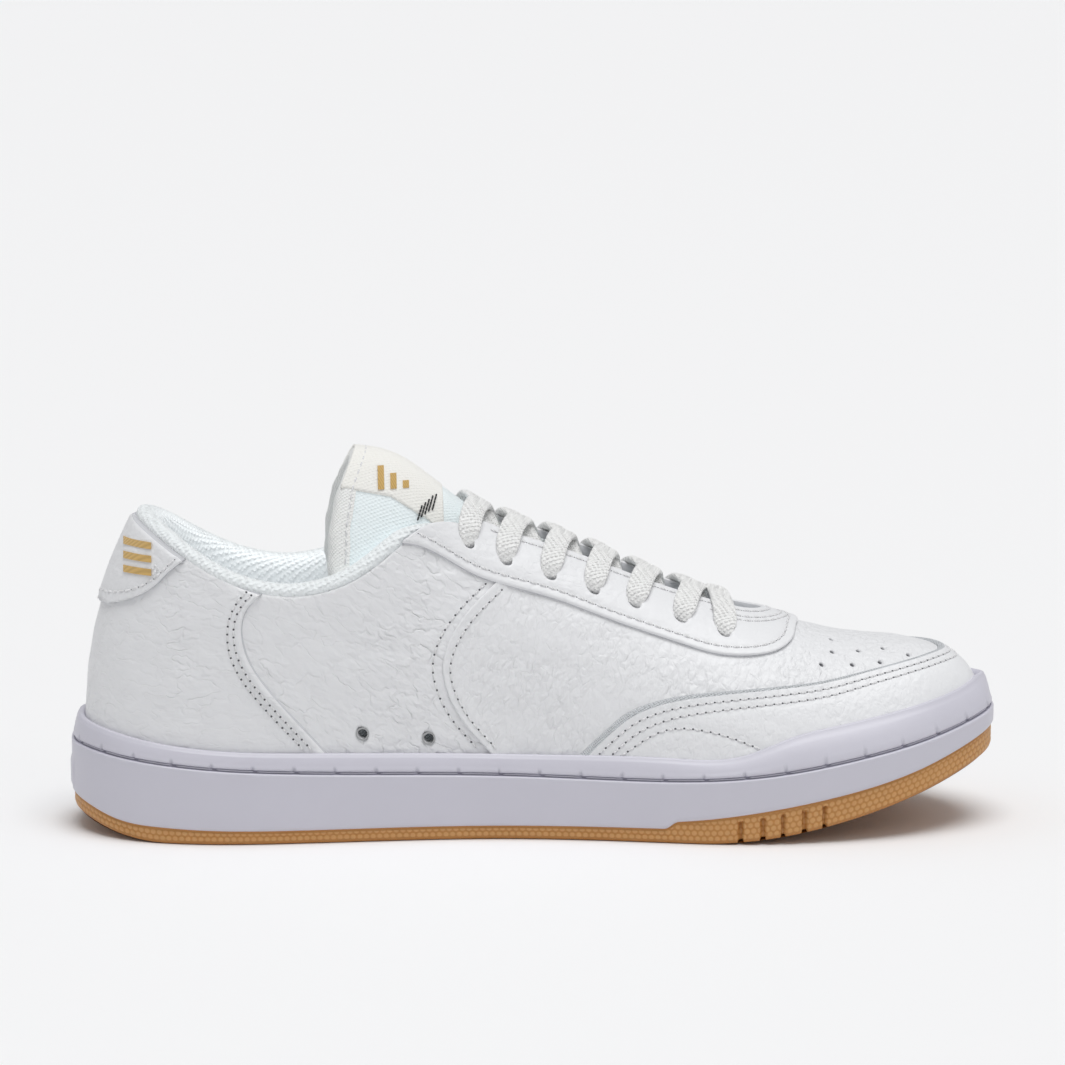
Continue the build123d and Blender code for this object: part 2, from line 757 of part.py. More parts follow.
with BuildPart() as lace:
    add(lace_run(medial[0], lateral[0], LACE_UNDER))
    for k in range(EYELETS - 1):
        add(lace_run(medial[k], lateral[k + 1], LACE_UNDER))
        add(lace_run(lateral[k], medial[k + 1], LACE_OVER))
    for side in (-1, 1):
        tail = side_region([(-25, 92)], [(-38, 70)], [(-41, 48)], [(-33, 48)], [(-30, 68)], [(-18, 88)])
        add(trimmed_block(tail, LACE_TAIL, side))
lace.part.label = "lace"
export_step(lace.part, "parts/lace.step")

with BuildPart() as lace_tips:
    side_block(side_region([(-39, 26)], [(-36, 26)], [(-35.5, 47.9)], [(-38.5, 47.9)]))
    trim_to_layer(LACE_TIP)
lace_tips.part.label = "lace_tips"
export_step(lace_tips.part, "parts/lace_tips.step")
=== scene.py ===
import math

import bmesh
import bpy
import numpy as np
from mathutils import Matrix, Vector, noise
from mathutils.geometry import delaunay_2d_cdt
from mathutils.kdtree import KDTree


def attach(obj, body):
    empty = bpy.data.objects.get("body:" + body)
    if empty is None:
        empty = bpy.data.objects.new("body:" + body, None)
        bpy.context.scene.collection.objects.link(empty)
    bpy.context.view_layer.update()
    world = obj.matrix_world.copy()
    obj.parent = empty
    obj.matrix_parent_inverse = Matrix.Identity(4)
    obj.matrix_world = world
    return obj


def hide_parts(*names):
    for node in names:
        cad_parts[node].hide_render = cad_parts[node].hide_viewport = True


# A white leather court shoe around its CAD frame. Lengths in this script are millimetres in the
# frame's axes (+X toe, +Y lateral, +Z up) and are turned into metres when a mesh is made.

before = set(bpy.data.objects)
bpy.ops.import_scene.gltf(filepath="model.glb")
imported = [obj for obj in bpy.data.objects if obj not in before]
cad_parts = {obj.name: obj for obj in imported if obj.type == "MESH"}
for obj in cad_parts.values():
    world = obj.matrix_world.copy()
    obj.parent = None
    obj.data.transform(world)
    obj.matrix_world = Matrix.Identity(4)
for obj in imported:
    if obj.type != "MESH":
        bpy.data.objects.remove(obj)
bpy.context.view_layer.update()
MM = 0.001

# ---- driving dimensions, as in the frame ----
HALF = 148.5
LAST_INSET = 8.0
LEATHER_BACK = 2.2
LEATHER = 3.6
OVERLAY = 5.1
EYELET_RADIUS = 2.2
VENT_RADIUS = 2.1
PERFORATION_RADIUS = 0.8
QUARTER_TURN = math.pi / 2


# ---- curves that shape the shoe ----
def smooth(knots):
    """A natural cubic spline through (x, value) knots, for arrays."""
    xs, ys = np.array(knots, float).T
    count = len(xs)
    gaps = np.diff(xs)
    matrix = np.eye(count)
    right = np.zeros(count)
    for i in range(1, count - 1):
        matrix[i, i - 1:i + 2] = gaps[i - 1], 2 * (gaps[i - 1] + gaps[i]), gaps[i]
        right[i] = 6 * ((ys[i + 1] - ys[i]) / gaps[i] - (ys[i] - ys[i - 1]) / gaps[i - 1])
    bend = np.linalg.solve(matrix, right)

    def value(x):
        x = np.clip(np.asarray(x, float), xs[0], xs[-1])
        i = np.clip(np.searchsorted(xs, x) - 1, 0, count - 2)
        d = xs[i + 1] - xs[i]
        u = x - xs[i]
        w = xs[i + 1] - x
        curve = (bend[i] * w**3 + bend[i + 1] * u**3) / (6 * d)
        return curve + (ys[i] / d - bend[i] * d / 6) * w + (ys[i + 1] / d - bend[i + 1] * d / 6) * u

    return value


def ease(value):
    value = np.clip(value, 0, 1)
    return value * value * (3 - 2 * value)


def unit(vectors):
    return vectors / np.maximum(np.linalg.norm(vectors, axis=-1, keepdims=True), 1e-9)


def circle(count):
    """Angles evenly spaced round a full turn."""
    return np.linspace(0, 2 * math.pi, count, endpoint=False)


def softened(values, rounds, weight):
    """Values averaged with their neighbours again and again. The two ends stay."""
    values = values.copy()
    for _ in range(rounds):
        values[1:-1] = (values[:-2] + weight * values[1:-1] + values[2:]) / (2 + weight)
    return values


fullness = smooth([
    (-148.5, 31), (-140, 38), (-130, 42), (-118, 43.4), (-105, 43.6), (-80, 42), (-50, 40.8),
    (-20, 41.2), (10, 44.7), (35, 49.8), (55, 54.4), (75, 57.6), (95, 58.8), (112, 58.5),
    (125, 56), (135, 52), (148.5, 46),
])
centre = smooth([
    (-148.5, -2.0), (-90, -2.0), (-20, 2.2), (20, 2.4), (75, -0.3), (110, -2.5), (148.5, -10.5),
])
groove_height = smooth([
    (-148.5, 29), (-125, 26.2), (-95, 23.8), (-50, 22), (0, 20.7), (50, 20.6), (75, 22.8),
    (102, 27.1), (126.7, 32.3), (148.5, 38.2),
])
rand_height = smooth([
    (-148.5, 36.5), (-130, 33), (-105, 30), (-70, 28.6), (-30, 27.6), (0, 27), (40, 26.8),
    (62, 27.6), (80, 33.4), (94.7, 36.3), (118, 40.4), (135, 43.8), (148.5, 47),
])
crest_height = smooth([
    (-148.5, 150), (-110, 185), (-75, 165), (-45, 119), (-20, 98), (10, 86.5), (40, 74),
    (60, 67), (76, 62), (95, 56.6), (112, 54.6), (130, 55), (148.5, 55.5),
])
roundness = smooth([
    (-148.5, 2.0), (-100, 2.2), (-40, 2.4), (0, 2.3), (40, 2.0), (70, 1.95), (100, 2.1),
    (125, 2.25), (148.5, 2.3),
])
tongue_ridge = smooth([
    (-72, 121.5), (-60, 120.8), (-50, 119.6), (-40, 115.5), (-30, 108), (-20, 100.5),
    (-10, 92.6), (10, 84.8), (40, 72.3), (60, 65.3), (76, 60.3), (90, 56.7),
])


def ground(x):
    toe = 24.5 * np.clip((np.asarray(x, float) - 50) / 98.5, 0, 2) ** 1.75
    return toe + 7 * np.clip((-118 - np.asarray(x, float)) / 30.5, 0, 2) ** 2


def footbed(x):
    x = np.asarray(x, float)
    return 18 - 4 * ease((x + 60) / 100) + 19.6 * np.clip((x - 50) / 98.5, 0, 2) ** 1.75


def half_width(x, inset):
    x = np.asarray(x, float)
    power = np.where(x < 0, 3.5, 2.5)
    share = np.clip(np.abs(x) / (HALF - inset), 0, 1)
    return (fullness(x) - inset) * (1 - share**power) ** (1 / power)


def lean(z):
    return 12 * np.clip((z - 30) / 74, 0, 1.1) ** 2


def last_top(x, inset, rise):
    x = np.asarray(x, float)
    half = HALF - inset
    toe = (1 - np.clip((x - 106) / (half - 106), 0, 1) ** 2.9) ** (1 / 2.9)
    heel = (1 - np.clip(-x / half, 0, 1) ** 3.5) ** (1 / 3.5)
    base = footbed(x) - rise
    return base + (crest_height(x) + rise - base) * np.where(x > 0, toe, heel)


def station_of(x, z):
    station = np.asarray(x, float)
    for _ in range(25):
        station = x - lean(z) * ease(-station / 100)
    return station


# ---- the chart: (turn, girth) on the grown last. Turn runs heel to toe, girth -1 medial to 1 lateral ----
def place(chart, offset):
    """Points on the last grown by an offset, for (turn, girth) rows."""
    chart = np.asarray(chart, float)
    turn, girth = chart[..., 0], np.clip(chart[..., 1], -1, 1)
    inset = LAST_INSET - offset
    station = (HALF - inset) * np.sin(turn)
    base = footbed(station) - offset
    top = last_top(station, inset, offset)
    power = roundness(station)
    rise = np.cos(np.abs(girth) * QUARTER_TURN)
    z = base + (top - base) * rise ** (2 / power)
    across = half_width(station, inset) * np.sin(np.abs(girth) * QUARTER_TURN) ** (2 / power)
    x = station + lean(z) * ease(-station / 100)
    return np.stack([x, centre(x) + np.sign(girth) * across, z], -1)


def chart_of_side(points, side, offset=LEATHER):
    """Chart rows for side view (x, z) points on one side."""
    x, z = np.array(points, float).T
    station = station_of(x, z)
    inset = LAST_INSET - offset
    base = footbed(station) - offset
    share = np.clip((z - base) / (last_top(station, inset, offset) - base), 0, 1)
    rise = np.clip(share ** (roundness(station) / 2), 0, 1)
    turn = np.arcsin(np.clip(station / (HALF - inset), -1, 1))
    return np.stack([turn, side * np.arccos(rise) / QUARTER_TURN], -1)


def chart_of_plan(points, offset=LEATHER):
    """Chart rows for plan view points: x, and y from the centre line."""
    x, y = np.array(points, float).T
    inset = LAST_INSET - offset
    share = np.clip(np.abs(y) / np.maximum(half_width(x, inset), 0.1), 0, 1)
    girth = np.arcsin(share ** (roundness(x) / 2)) / QUARTER_TURN
    turn = np.arcsin(np.clip(x / (HALF - inset), -1, 1))
    return np.stack([turn, np.sign(y) * girth], -1)


def resample(points, step, closed=False, measure=None):
    """Points evenly spaced along a smooth curve through the given ones."""
    points = np.asarray(points, float)
    if closed:
        points = np.vstack([points, points[:1]])
    sizes = np.linalg.norm(np.diff(measure(points) if measure else points, axis=0), axis=1)
    along = np.concatenate([[0], np.cumsum(np.maximum(sizes, 1e-6))])
    count = max(2, int(round(along[-1] / step)) + 1)
    wanted = np.linspace(0, along[-1], count)
    result = np.stack([np.interp(wanted, along, column) for column in points.T], -1)
    return result[:-1] if closed else result


def rounded(points, step=1.0, measure=None):
    """A smooth curve through a few points, then even spacing."""
    points = np.asarray(points, float)
    along = np.concatenate([[0], np.cumsum(np.linalg.norm(np.diff(points, axis=0), axis=1))])
    dense = np.linspace(0, along[-1], 40 * len(points))
    curve = np.stack([smooth(list(zip(along, column)))(dense) for column in points.T], -1)
    return resample(curve, step, measure=measure)


def on_leather(chart):
    return place(chart, LEATHER)


# ---- seam lines, as side view (x, z) points ----
TOPLINE = [
    (-142, 107), (-127.5, 100), (-111.1, 89.3), (-99.2, 82.9), (-77.1, 78.2), (-56.6, 83.8),
    (-43.2, 93.2), (-33.1, 98.1), (-23.3, 97),
]
HEEL_SEAM = [(-87.4, 79), (-91.5, 75), (-93.1, 63.9), (-85.8, 49.8), (-72.3, 34.2), (-60, 20)]
TAB_EDGE = [
    (-111.2, 89.4), (-115.4, 86.2), (-119.6, 81.9), (-125.1, 78), (-130.6, 75.5), (-135.1, 74.2),
    (-138.2, 73.5),
]
MID_SEAM = [
    (-13.1, 79.9), (-19.9, 74), (-25.8, 67.1), (-29.3, 60.4), (-30.4, 54.5), (-29.6, 48.9),
    (-22.8, 35.7), (-14.8, 26.5), (-10, 19),
]
EYESTAY_EDGE = [
    (-42.8, 93.2), (-35.7, 91.4), (-28, 87.2), (-20.3, 82.7), (-12.2, 79.6), (3.3, 75.2), (18, 69.9),
    (33, 64.5), (44.3, 60.8), (55.3, 57.5), (65, 56.4), (74.4, 56.9),
]
GUARD_EDGE = [
    (8, 20), (11.9, 25.6), (16, 30.2), (21, 35), (27.1, 39.8), (35.5, 43.5), (45.8, 45.6), (57.7, 46.7),
    (73.1, 47.6), (91.1, 48.8), (102.5, 50.5), (114, 52.4),
]
EYELET_POINTS = [
    (59.5, 62.8), (45.8, 67.3), (31.1, 72.2), (18, 76.8), (4.3, 81.5), (-9.7, 86.3), (-21.5, 91.9),
]
VENT_POINTS = [(-56.1, 34.1), (-35.1, 32.1)]
PERFORATION_POINTS = [
    (95.9, 12), (95.2, 20), (91, 26.7), (103.9, 17.2), (101.1, 24.6), (112.2, 14.1),
    (110.3, 21.9), (120, 16),
]
SLOT_POSITIONS = [62.4, 69.5, 76, 82.9, 89.4]


# ---- materials ----
def new_material(name, color, roughness=0.5, sheen=0.0, specular=0.5):
    material = bpy.data.materials.new(name)
    material.use_nodes = True
    shader = material.node_tree.nodes["Principled BSDF"]
    shader.inputs["Base Color"].default_value = (*color, 1)
    shader.inputs["Roughness"].default_value = roughness
    shader.inputs["Sheen Weight"].default_value = sheen
    shader.inputs["Specular IOR Level"].default_value = specular
    return material


def node(material, kind, inputs=None, **settings):
    made = material.node_tree.nodes.new("ShaderNode" + kind)
    for key, value in settings.items():
        setattr(made, key, value)
    for key, value in (inputs or {}).items():
        made.inputs[key].default_value = value
    return made


def link(material, output, target):
    material.node_tree.links.new(output, target)


def coordinates(material, stretch=(1, 1, 1), turn=(0, 0, 0)):
    """Object coordinates, drawn out along turned axes, as a socket."""
    place_node = node(material, "TexCoord")
    mapping = node(material, "Mapping", {"Scale": stretch, "Rotation": turn}, vector_type="TEXTURE")
    link(material, place_node.outputs["Object"], mapping.inputs["Vector"])
    return mapping.outputs["Vector"]


def math_node(material, operation, first, second=None):
    made = node(material, "Math", operation=operation)
    for socket, value in zip(made.inputs, (first, second)):
        if value is None:
            continue
        if isinstance(value, (int, float)):
            socket.default_value = value
        else:
            link(material, value, socket)
    return made.outputs[0]


def ramp(material, factor, stops):
    made = node(material, "ValToRGB")
    while len(made.color_ramp.elements) < len(stops):
        made.color_ramp.elements.new(0.5)
    for element, (position, color) in zip(made.color_ramp.elements, stops):
        element.position = position
        element.color = (*color, 1)
    link(material, factor, made.inputs[0])
    return made.outputs[0]


def bump(material, height, distance, strength=1.0, before=None):
    made = node(material, "Bump", {"Distance": distance, "Strength": strength})
    link(material, height, made.inputs["Height"])
    if before is not None:
        link(material, before, made.inputs["Normal"])
    return made.outputs["Normal"]


def finish_material(material, color=None, roughness=None, normal=None):
    shader = material.node_tree.nodes["Principled BSDF"]
    for key, socket in (("Base Color", color), ("Roughness", roughness), ("Normal", normal)):
        if socket is not None:
            link(material, socket, shader.inputs[key])
    return material


def tinted(color, gain):
    return tuple(min(1.0, channel * gain) for channel in color)


def leather(name, color, grain, wrinkle, stretch, turn=(0, 0, 0), fine=1.0, spacing=150.0):
    """Soft tumbled leather: rounded stones with pebbles on them, and soft creases drawn out one way."""
    material = new_material(name, color, 0.46)
    even = coordinates(material)
    drawn = coordinates(material, stretch, turn)
    warp = node(material, "TexNoise", {"Scale": 300.0, "Detail": 1.0, "Roughness": 0.5})
    link(material, even, warp.inputs["Vector"])
    warped = node(material, "VectorMath", {"Scale": 0.0026}, operation="SCALE")
    link(material, warp.outputs["Color"], warped.inputs[0])
    moved = node(material, "VectorMath", operation="ADD")
    link(material, drawn, moved.inputs[0])
    link(material, warped.outputs[0], moved.inputs[1])
    patches = node(material, "TexNoise", {"Scale": 40.0, "Detail": 2.0})
    link(material, even, patches.inputs["Vector"])
    limits = {"From Min": 0.36, "From Max": 0.64, "To Min": 0.45, "To Max": 1.15}
    strength = node(material, "MapRange", limits)
    link(material, patches.outputs[0], strength.inputs["Value"])

    def cells(scale):
        """Domes with a valley between each and the next."""
        made = node(material, "TexVoronoi", {"Scale": scale})
        link(material, moved.outputs[0], made.inputs["Vector"])
        return math_node(material, "MULTIPLY", made.outputs["Distance"], strength.outputs[0])

    winding = {"Scale": spacing, "Detail": 1.0, "Roughness": 0.4, "Distortion": 0.5}
    wander = node(material, "TexNoise", winding)
    link(material, moved.outputs[0], wander.inputs["Vector"])
    far = math_node(material, "ABSOLUTE", math_node(material, "SUBTRACT", wander.outputs[0], 0.5))
    valley = math_node(material, "MULTIPLY", math_node(material, "MINIMUM", far, 0.06), strength.outputs[0])
    pores = node(material, "TexNoise", {"Scale": 2600.0, "Detail": 1.0, "Roughness": 0.6})
    link(material, even, pores.inputs["Vector"])
    normal = bump(material, valley, 0.0075 * wrinkle, 0.8)
    normal = bump(material, cells(grain * 0.42), -0.0010 * fine, 0.8, normal)
    normal = bump(material, cells(grain), -0.00030 * fine, 0.7, normal)
    normal = bump(material, pores.outputs[0], 0.00004, 0.4, normal)
    gloss = node(material, "MapRange", {"To Min": 0.36, "To Max": 0.52})
    link(material, patches.outputs[0], gloss.inputs["Value"])
    return finish_material(material, None, gloss.outputs[0], normal)


WAVES_PER_METRE = 0.318  # a wave texture of scale 1 repeats every 0.318 m


def cloth(name, color, pitch=0.0011, depth=0.0003, sheen=0.3, contrast=0.93):
    """Knit or canvas: crossed waves of yarn under a little fuzz."""
    material = new_material(name, color, 0.85, sheen, 0.25)
    even = coordinates(material)
    turned = coordinates(material, turn=(0.6, 0.5, 0.785))
    waves = []
    for vector, axis in ((turned, "X"), (turned, "Y"), (turned, "Z")):
        yarn = {"Scale": WAVES_PER_METRE / pitch, "Distortion": 0.6, "Detail": 1.0, "Detail Scale": 2.0}
        wave = node(material, "TexWave", yarn, bands_direction=axis)
        link(material, vector, wave.inputs["Vector"])
        waves.append(wave.outputs["Fac"])
    woven = math_node(material, "MULTIPLY", math_node(material, "ADD", waves[0], waves[2]), waves[1])
    fuzz = node(material, "TexNoise", {"Scale": 2600.0, "Detail": 2.0})
    link(material, even, fuzz.inputs["Vector"])
    normal = bump(material, woven, depth, 0.8)
    normal = bump(material, fuzz.outputs[0], 0.00008, 0.5, normal)
    # painted shade: the low parts of the weave are darker than the tops of the yarn
    shade = ramp(material, woven, [(0.0, tinted(color, contrast)), (0.6, color)])
    return finish_material(material, shade, None, normal)


def moulded(name, color, roughness=0.42, grain=900.0, depth=0.00003, speck=0.97):
    """Moulded rubber or plastic with a faint mould texture and soft colour variation."""
    material = new_material(name, color, roughness)
    even = coordinates(material)
    fine = node(material, "TexNoise", {"Scale": grain, "Detail": 3.0})
    broad = node(material, "TexNoise", {"Scale": 26.0, "Detail": 3.0})
    link(material, even, fine.inputs["Vector"])
    link(material, even, broad.inputs["Vector"])
    shade = ramp(material, broad.outputs[0], [(0.3, tinted(color, speck)), (0.7, tinted(color, 1.01))])
    gloss = node(material, "MapRange", {"To Min": roughness - 0.05, "To Max": roughness + 0.07})
    link(material, broad.outputs[0], gloss.inputs["Value"])
    return finish_material(material, shade, gloss.outputs[0], bump(material, fine.outputs[0], depth, 0.6))


def thread(name, color, pitch=0.0006):
    """Twisted thread: slanting bands along it."""
    material = new_material(name, color, 0.6, 0.3, 0.35)
    turned = coordinates(material, turn=(0.4, 0.9, 0.6))
    twist = {"Scale": WAVES_PER_METRE / pitch, "Distortion": 0.4}
    bands = node(material, "TexWave", twist, bands_direction="DIAGONAL")
    link(material, turned, bands.inputs["Vector"])
    # painted shade: the troughs of the twist are darker
    shade = ramp(material, bands.outputs["Fac"], [(0.0, tinted(color, 0.82)), (0.7, color)])
    return finish_material(material, shade, None, bump(material, bands.outputs["Fac"], 0.00012, 0.8))


def gum_rubber(name):
    """Amber rubber; a mesh value called dots lightens its raised dots, a painted highlight on them."""
    material = new_material(name, (0.45, 0.225, 0.075), 0.42)
    shader = material.node_tree.nodes["Principled BSDF"]
    shader.inputs["Subsurface Weight"].default_value = 0.15
    shader.inputs["Subsurface Radius"].default_value = (0.004, 0.002, 0.001)
    dots = node(material, "Attribute", attribute_name="dots")
    broad = node(material, "TexNoise", {"Scale": 40.0, "Detail": 3.0})
    link(material, coordinates(material), broad.inputs["Vector"])
    clouds = math_node(material, "MULTIPLY", broad.outputs[0], 0.35)
    mixed = math_node(material, "ADD", clouds, dots.outputs["Fac"])
    stops = [(0.05, (0.44, 0.19, 0.045)), (0.35, (0.50, 0.23, 0.06)), (8 / 9, (0.60, 0.32, 0.115))]
    shade = ramp(material, mixed, stops)
    return finish_material(material, shade)


WHITE = (0.79, 0.795, 0.81)
materials = {
    "heel": leather("leather_heel", WHITE, 950, 0.4, (2.2, 1.2, 0.9), (0, 0.06, 0), 0.34, 210),
    "quarter": leather("leather_quarter", WHITE, 820, 0.62, (1.5, 1, 0.85), (0, 0.6, 0), 0.62, 165),
    "vamp": leather("leather_vamp", WHITE, 950, 0.22, (0.8, 1, 1.6), (0, 0.3, 0), 0.58, 220),
    "guard": leather("leather_guard", WHITE, 1050, 0.12, (0.9, 1, 1.4), (0, 0.2, 0), 0.3, 240),
    "eyestay": leather("leather_eyestay", WHITE, 1000, 0.12, (1.3, 1, 1), fine=0.25, spacing=220),
    "raw_edge": cloth("raw_leather_edge", (0.70, 0.725, 0.75), 0.0007, 0.0004, 0.2, 0.8),
    # cut edge walls: partly the leather edge's own grey, partly painted shade that draws a dark line along
    # each overlay's edge
    "cut_edge_shade": moulded("cut_edge_painted_shade", (0.56, 0.565, 0.59), 0.7),
    "stitch": thread("upper_thread", (0.80, 0.80, 0.81)),
    # painted shade: dark discs for needle holes and toe perforations
    "needle_hole_shade": moulded("needle_hole_shade", (0.11, 0.11, 0.12), 0.8),
    "knit": cloth("collar_knit", (0.90, 0.935, 0.945), 0.0014, 0.0003, 0.4, 0.95),
    "lining": cloth("lining_cloth", (0.92, 0.94, 0.945), 0.0014, 0.0004, 0.4, 0.93),
    "tongue": cloth("tongue_cloth", (0.86, 0.93, 0.945), 0.0009, 0.00010, 0.5, 0.98),
    "binding": cloth("binding_tape", (0.88, 0.885, 0.87), 0.0008, 0.00016, 0.3, 0.97),
    "label": cloth("label_weave", (0.88, 0.87, 0.83), 0.0009, 0.00008, 0.3, 0.98),
    "gold": thread("gold_thread", (0.62, 0.40, 0.13)),
    "black": thread("black_thread", (0.02, 0.02, 0.022)),
    "lace": cloth("lace_weave", (0.93, 0.93, 0.92), 0.0011, 0.00035, 0.4, 0.94),
    "cup": moulded("cupsole_rubber", (0.60, 0.59, 0.66), 0.40, 700, 0.00002, 0.985),
    # painted shade darkening the groove of the cupsole
    "groove_shade": moulded("cupsole_groove_painted_shade", (0.36, 0.35, 0.43), 0.6),
    "gum": gum_rubber("gum_rubber"),
    "tip": moulded("lace_tip", (0.85, 0.85, 0.84), 0.2),
    "foam": moulded("foam", (0.75, 0.73, 0.68), 0.9, 1800, 0.0002, 0.9),
    "board": cloth("fibre_board", (0.55, 0.50, 0.40), 0.0006, 0.0001, 0.1, 0.85),
    "vent_ring": moulded("vent_ring", (0.38, 0.385, 0.39), 0.4),
    "vent_mesh": cloth("vent_mesh", (0.34, 0.37, 0.39), 0.0006, 0.0005, 0.1, 0.35),
}


def glowing(material, strength):
    """Painted light: a faint glow in a pale material, standing in for daylight that would reach it. Returns
    the shader.
    """
    shader = material.node_tree.nodes["Principled BSDF"]
    shader.inputs["Emission Color"].default_value = (0.94, 0.97, 1.0, 1)
    shader.inputs["Emission Strength"].default_value = strength
    return shader


def painted_glow_inside(material, amount):
    """Painted light: a thin pale knit glows as far as the mesh value inside says, which brightens its shaded
    inside.
    """
    shader = glowing(material, amount)
    deep = node(material, "Attribute", attribute_name="inside")
    glow = math_node(material, "MULTIPLY", deep.outputs["Fac"], amount)
    link(material, glow, shader.inputs["Emission Strength"])


# painted light: the inside of the collar knit and all of the lining glow a little
painted_glow_inside(materials["knit"], 0.2)
glowing(materials["lining"], 0.12)


def mark(made, name, values):
    """A number for each vertex, for a material to read."""
    attribute = made.data.attributes.new(name, "FLOAT", "POINT")
    attribute.data.foreach_set("value", np.asarray(values, dtype=np.float32))


# ---- making meshes ----
def piece(name, points, faces, material, body="shoe", edge=None, edge_faces=0, tidy_sides=True):
    """A mesh object from millimetre points. The last edge_faces faces take the edge material."""
    mesh = bpy.data.meshes.new(name)
    mesh.from_pydata((np.asarray(points) * MM).tolist(), [], faces)
    mesh.materials.append(materials[material])
    mesh.polygons.foreach_set("use_smooth", [True] * len(faces))
    if edge:
        mesh.materials.append(materials[edge])
        first = len(faces) - edge_faces
        mesh.polygons.foreach_set("material_index", [int(k >= first) for k in range(len(faces))])
    mesh.validate()
    mesh.update()
    if tidy_sides:
        shell = bmesh.new()
        shell.from_mesh(mesh)
        bmesh.ops.recalc_face_normals(shell, faces=shell.faces)
        shell.to_mesh(mesh)
        shell.free()
    made = bpy.data.objects.new(name, mesh)
    bpy.context.scene.collection.objects.link(made)
    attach(made, body)
    return made


def grid_faces(rows, columns, wrap_rows=False, wrap_columns=False, start=0):
    faces = []
    for i in range(rows if wrap_rows else rows - 1):
        for j in range(columns if wrap_columns else columns - 1):
            a = start + i * columns + j
            b = start + i * columns + (j + 1) % columns
            c = start + ((i + 1) % rows) * columns + (j + 1) % columns
            d = start + ((i + 1) % rows) * columns + j
            faces.append((a, b, c, d))
    return faces


def tube_faces(rings, spokes, start=0):
    """Faces of a closed tube: its side and a cap at each end."""
    last = start + (rings - 1) * spokes
    caps = [tuple(start + j for j in range(spokes))[::-1], tuple(last + j for j in range(spokes))]
    return grid_faces(rings, spokes, wrap_columns=True, start=start) + caps


def closed_faces(steps, columns):
    """Faces of a thin closed sheet: a grid, the same grid under it, and walls round the rim."""
    total = steps * columns
    upper = grid_faces(steps, columns)
    lower = [face[::-1] for face in grid_faces(steps, columns, start=total)]
    rim = [k * columns for k in range(steps)] + [(steps - 1) * columns + j for j in range(columns)]
    rim += [k * columns + columns - 1 for k in range(steps)][::-1] + list(range(columns))[::-1]
    rim = [k for n, k in enumerate(rim) if k != rim[n - 1]]
    return upper + lower + [(a, b, b + total, a + total) for a, b in zip(rim, rim[1:] + rim[:1])]


def tree_of(points):
    tree = KDTree(len(points))
    for k, point in enumerate(points):
        tree.insert(point, k)
    tree.balance()
    return tree


def distances(tree, points):
    return np.array([tree.find(point)[2] for point in points])


def inside(points, loop):
    """Which chart points lie inside a closed loop."""
    x, y = points.T
    result = np.zeros(len(points), bool)
    for (x0, y0), (x1, y1) in zip(loop, np.roll(loop, -1, 0)):
        crosses = (y0 > y) != (y1 > y)
        if y0 != y1:
            result ^= crosses & (x < (x1 - x0) * (y - y0) / (y1 - y0) + x0)
    return result


def outward(chart, offset):
    """Unit normals of the grown last."""
    step = 0.002
    chart = np.asarray(chart, float)
    along = place(chart + [step, 0], offset) - place(chart - [step, 0], offset)
    around = place(chart + [0, step], offset) - place(chart - [0, step], offset)
    return unit(np.cross(along, around))


def metric(chart):
    step = 0.002
    chart = np.asarray(chart, float)
    along = np.linalg.norm(place(chart + [step, 0], LEATHER) - place(chart - [step, 0], LEATHER), axis=-1)
    around = np.linalg.norm(place(chart + [0, step], LEATHER) - place(chart - [0, step], LEATHER), axis=-1)
    return np.maximum(np.stack([along, around], -1) / (2 * step), 4.0)


def drawn_in(loop, distance):
    """A closed chart loop moved inwards by a distance in millimetres."""
    sizes = metric(loop)
    before = np.roll(loop, 1, 0)
    after = np.roll(loop, -1, 0)
    tangent = unit((after - before) * sizes)
    x, y = loop.T
    turning = np.sum(x * np.roll(y, -1) - np.roll(x, -1) * y)
    normal = np.stack([-tangent[:, 1], tangent[:, 0]], -1) * np.sign(turning)
    return loop + normal * distance / sizes


def filling(loop, spacing):
    """Evenly spread chart points inside a loop."""
    low, high = loop.min(0), loop.max(0)
    girths = np.linspace(-0.99, 0.99, 181)
    rows = []
    turn = low[0]
    odd = False
    while turn < high[0]:
        line = np.stack([np.full(len(girths), turn), girths], -1)
        kept = line[inside(line, loop)]
        sizes = metric(kept if len(kept) else line[60:121])
        turn += spacing / sizes[:, 0].max()
        line[:, 0] = turn
        points = place(line, LEATHER)
        along = np.concatenate([[0], np.cumsum(np.linalg.norm(np.diff(points, axis=0), axis=1))])
        wanted = np.arange(spacing * (0.5 if odd else 1.0), along[-1], spacing)
        row = np.stack([np.full(len(wanted), turn), np.interp(wanted, along, girths)], -1)
        rows.append(row[(row[:, 1] > low[1]) & (row[:, 1] < high[1])])
        odd = not odd
    points = np.vstack(rows)
    return points[inside(points, loop)]


def relief(points, size, depth, seed):
    """Soft hollows and rises of worn-in leather."""
    shift = Vector((seed * 13.7, seed * 5.1, seed * 9.3))
    heights = []
    for point in points:
        spot = Vector(point)
        broad = noise.noise(spot / size + shift)
        heights.append(broad + 0.5 * noise.noise(spot / (size * 0.45) + shift))
    return depth * np.array(heights)


CHART_SCALE = np.array([140.0, 80.0])


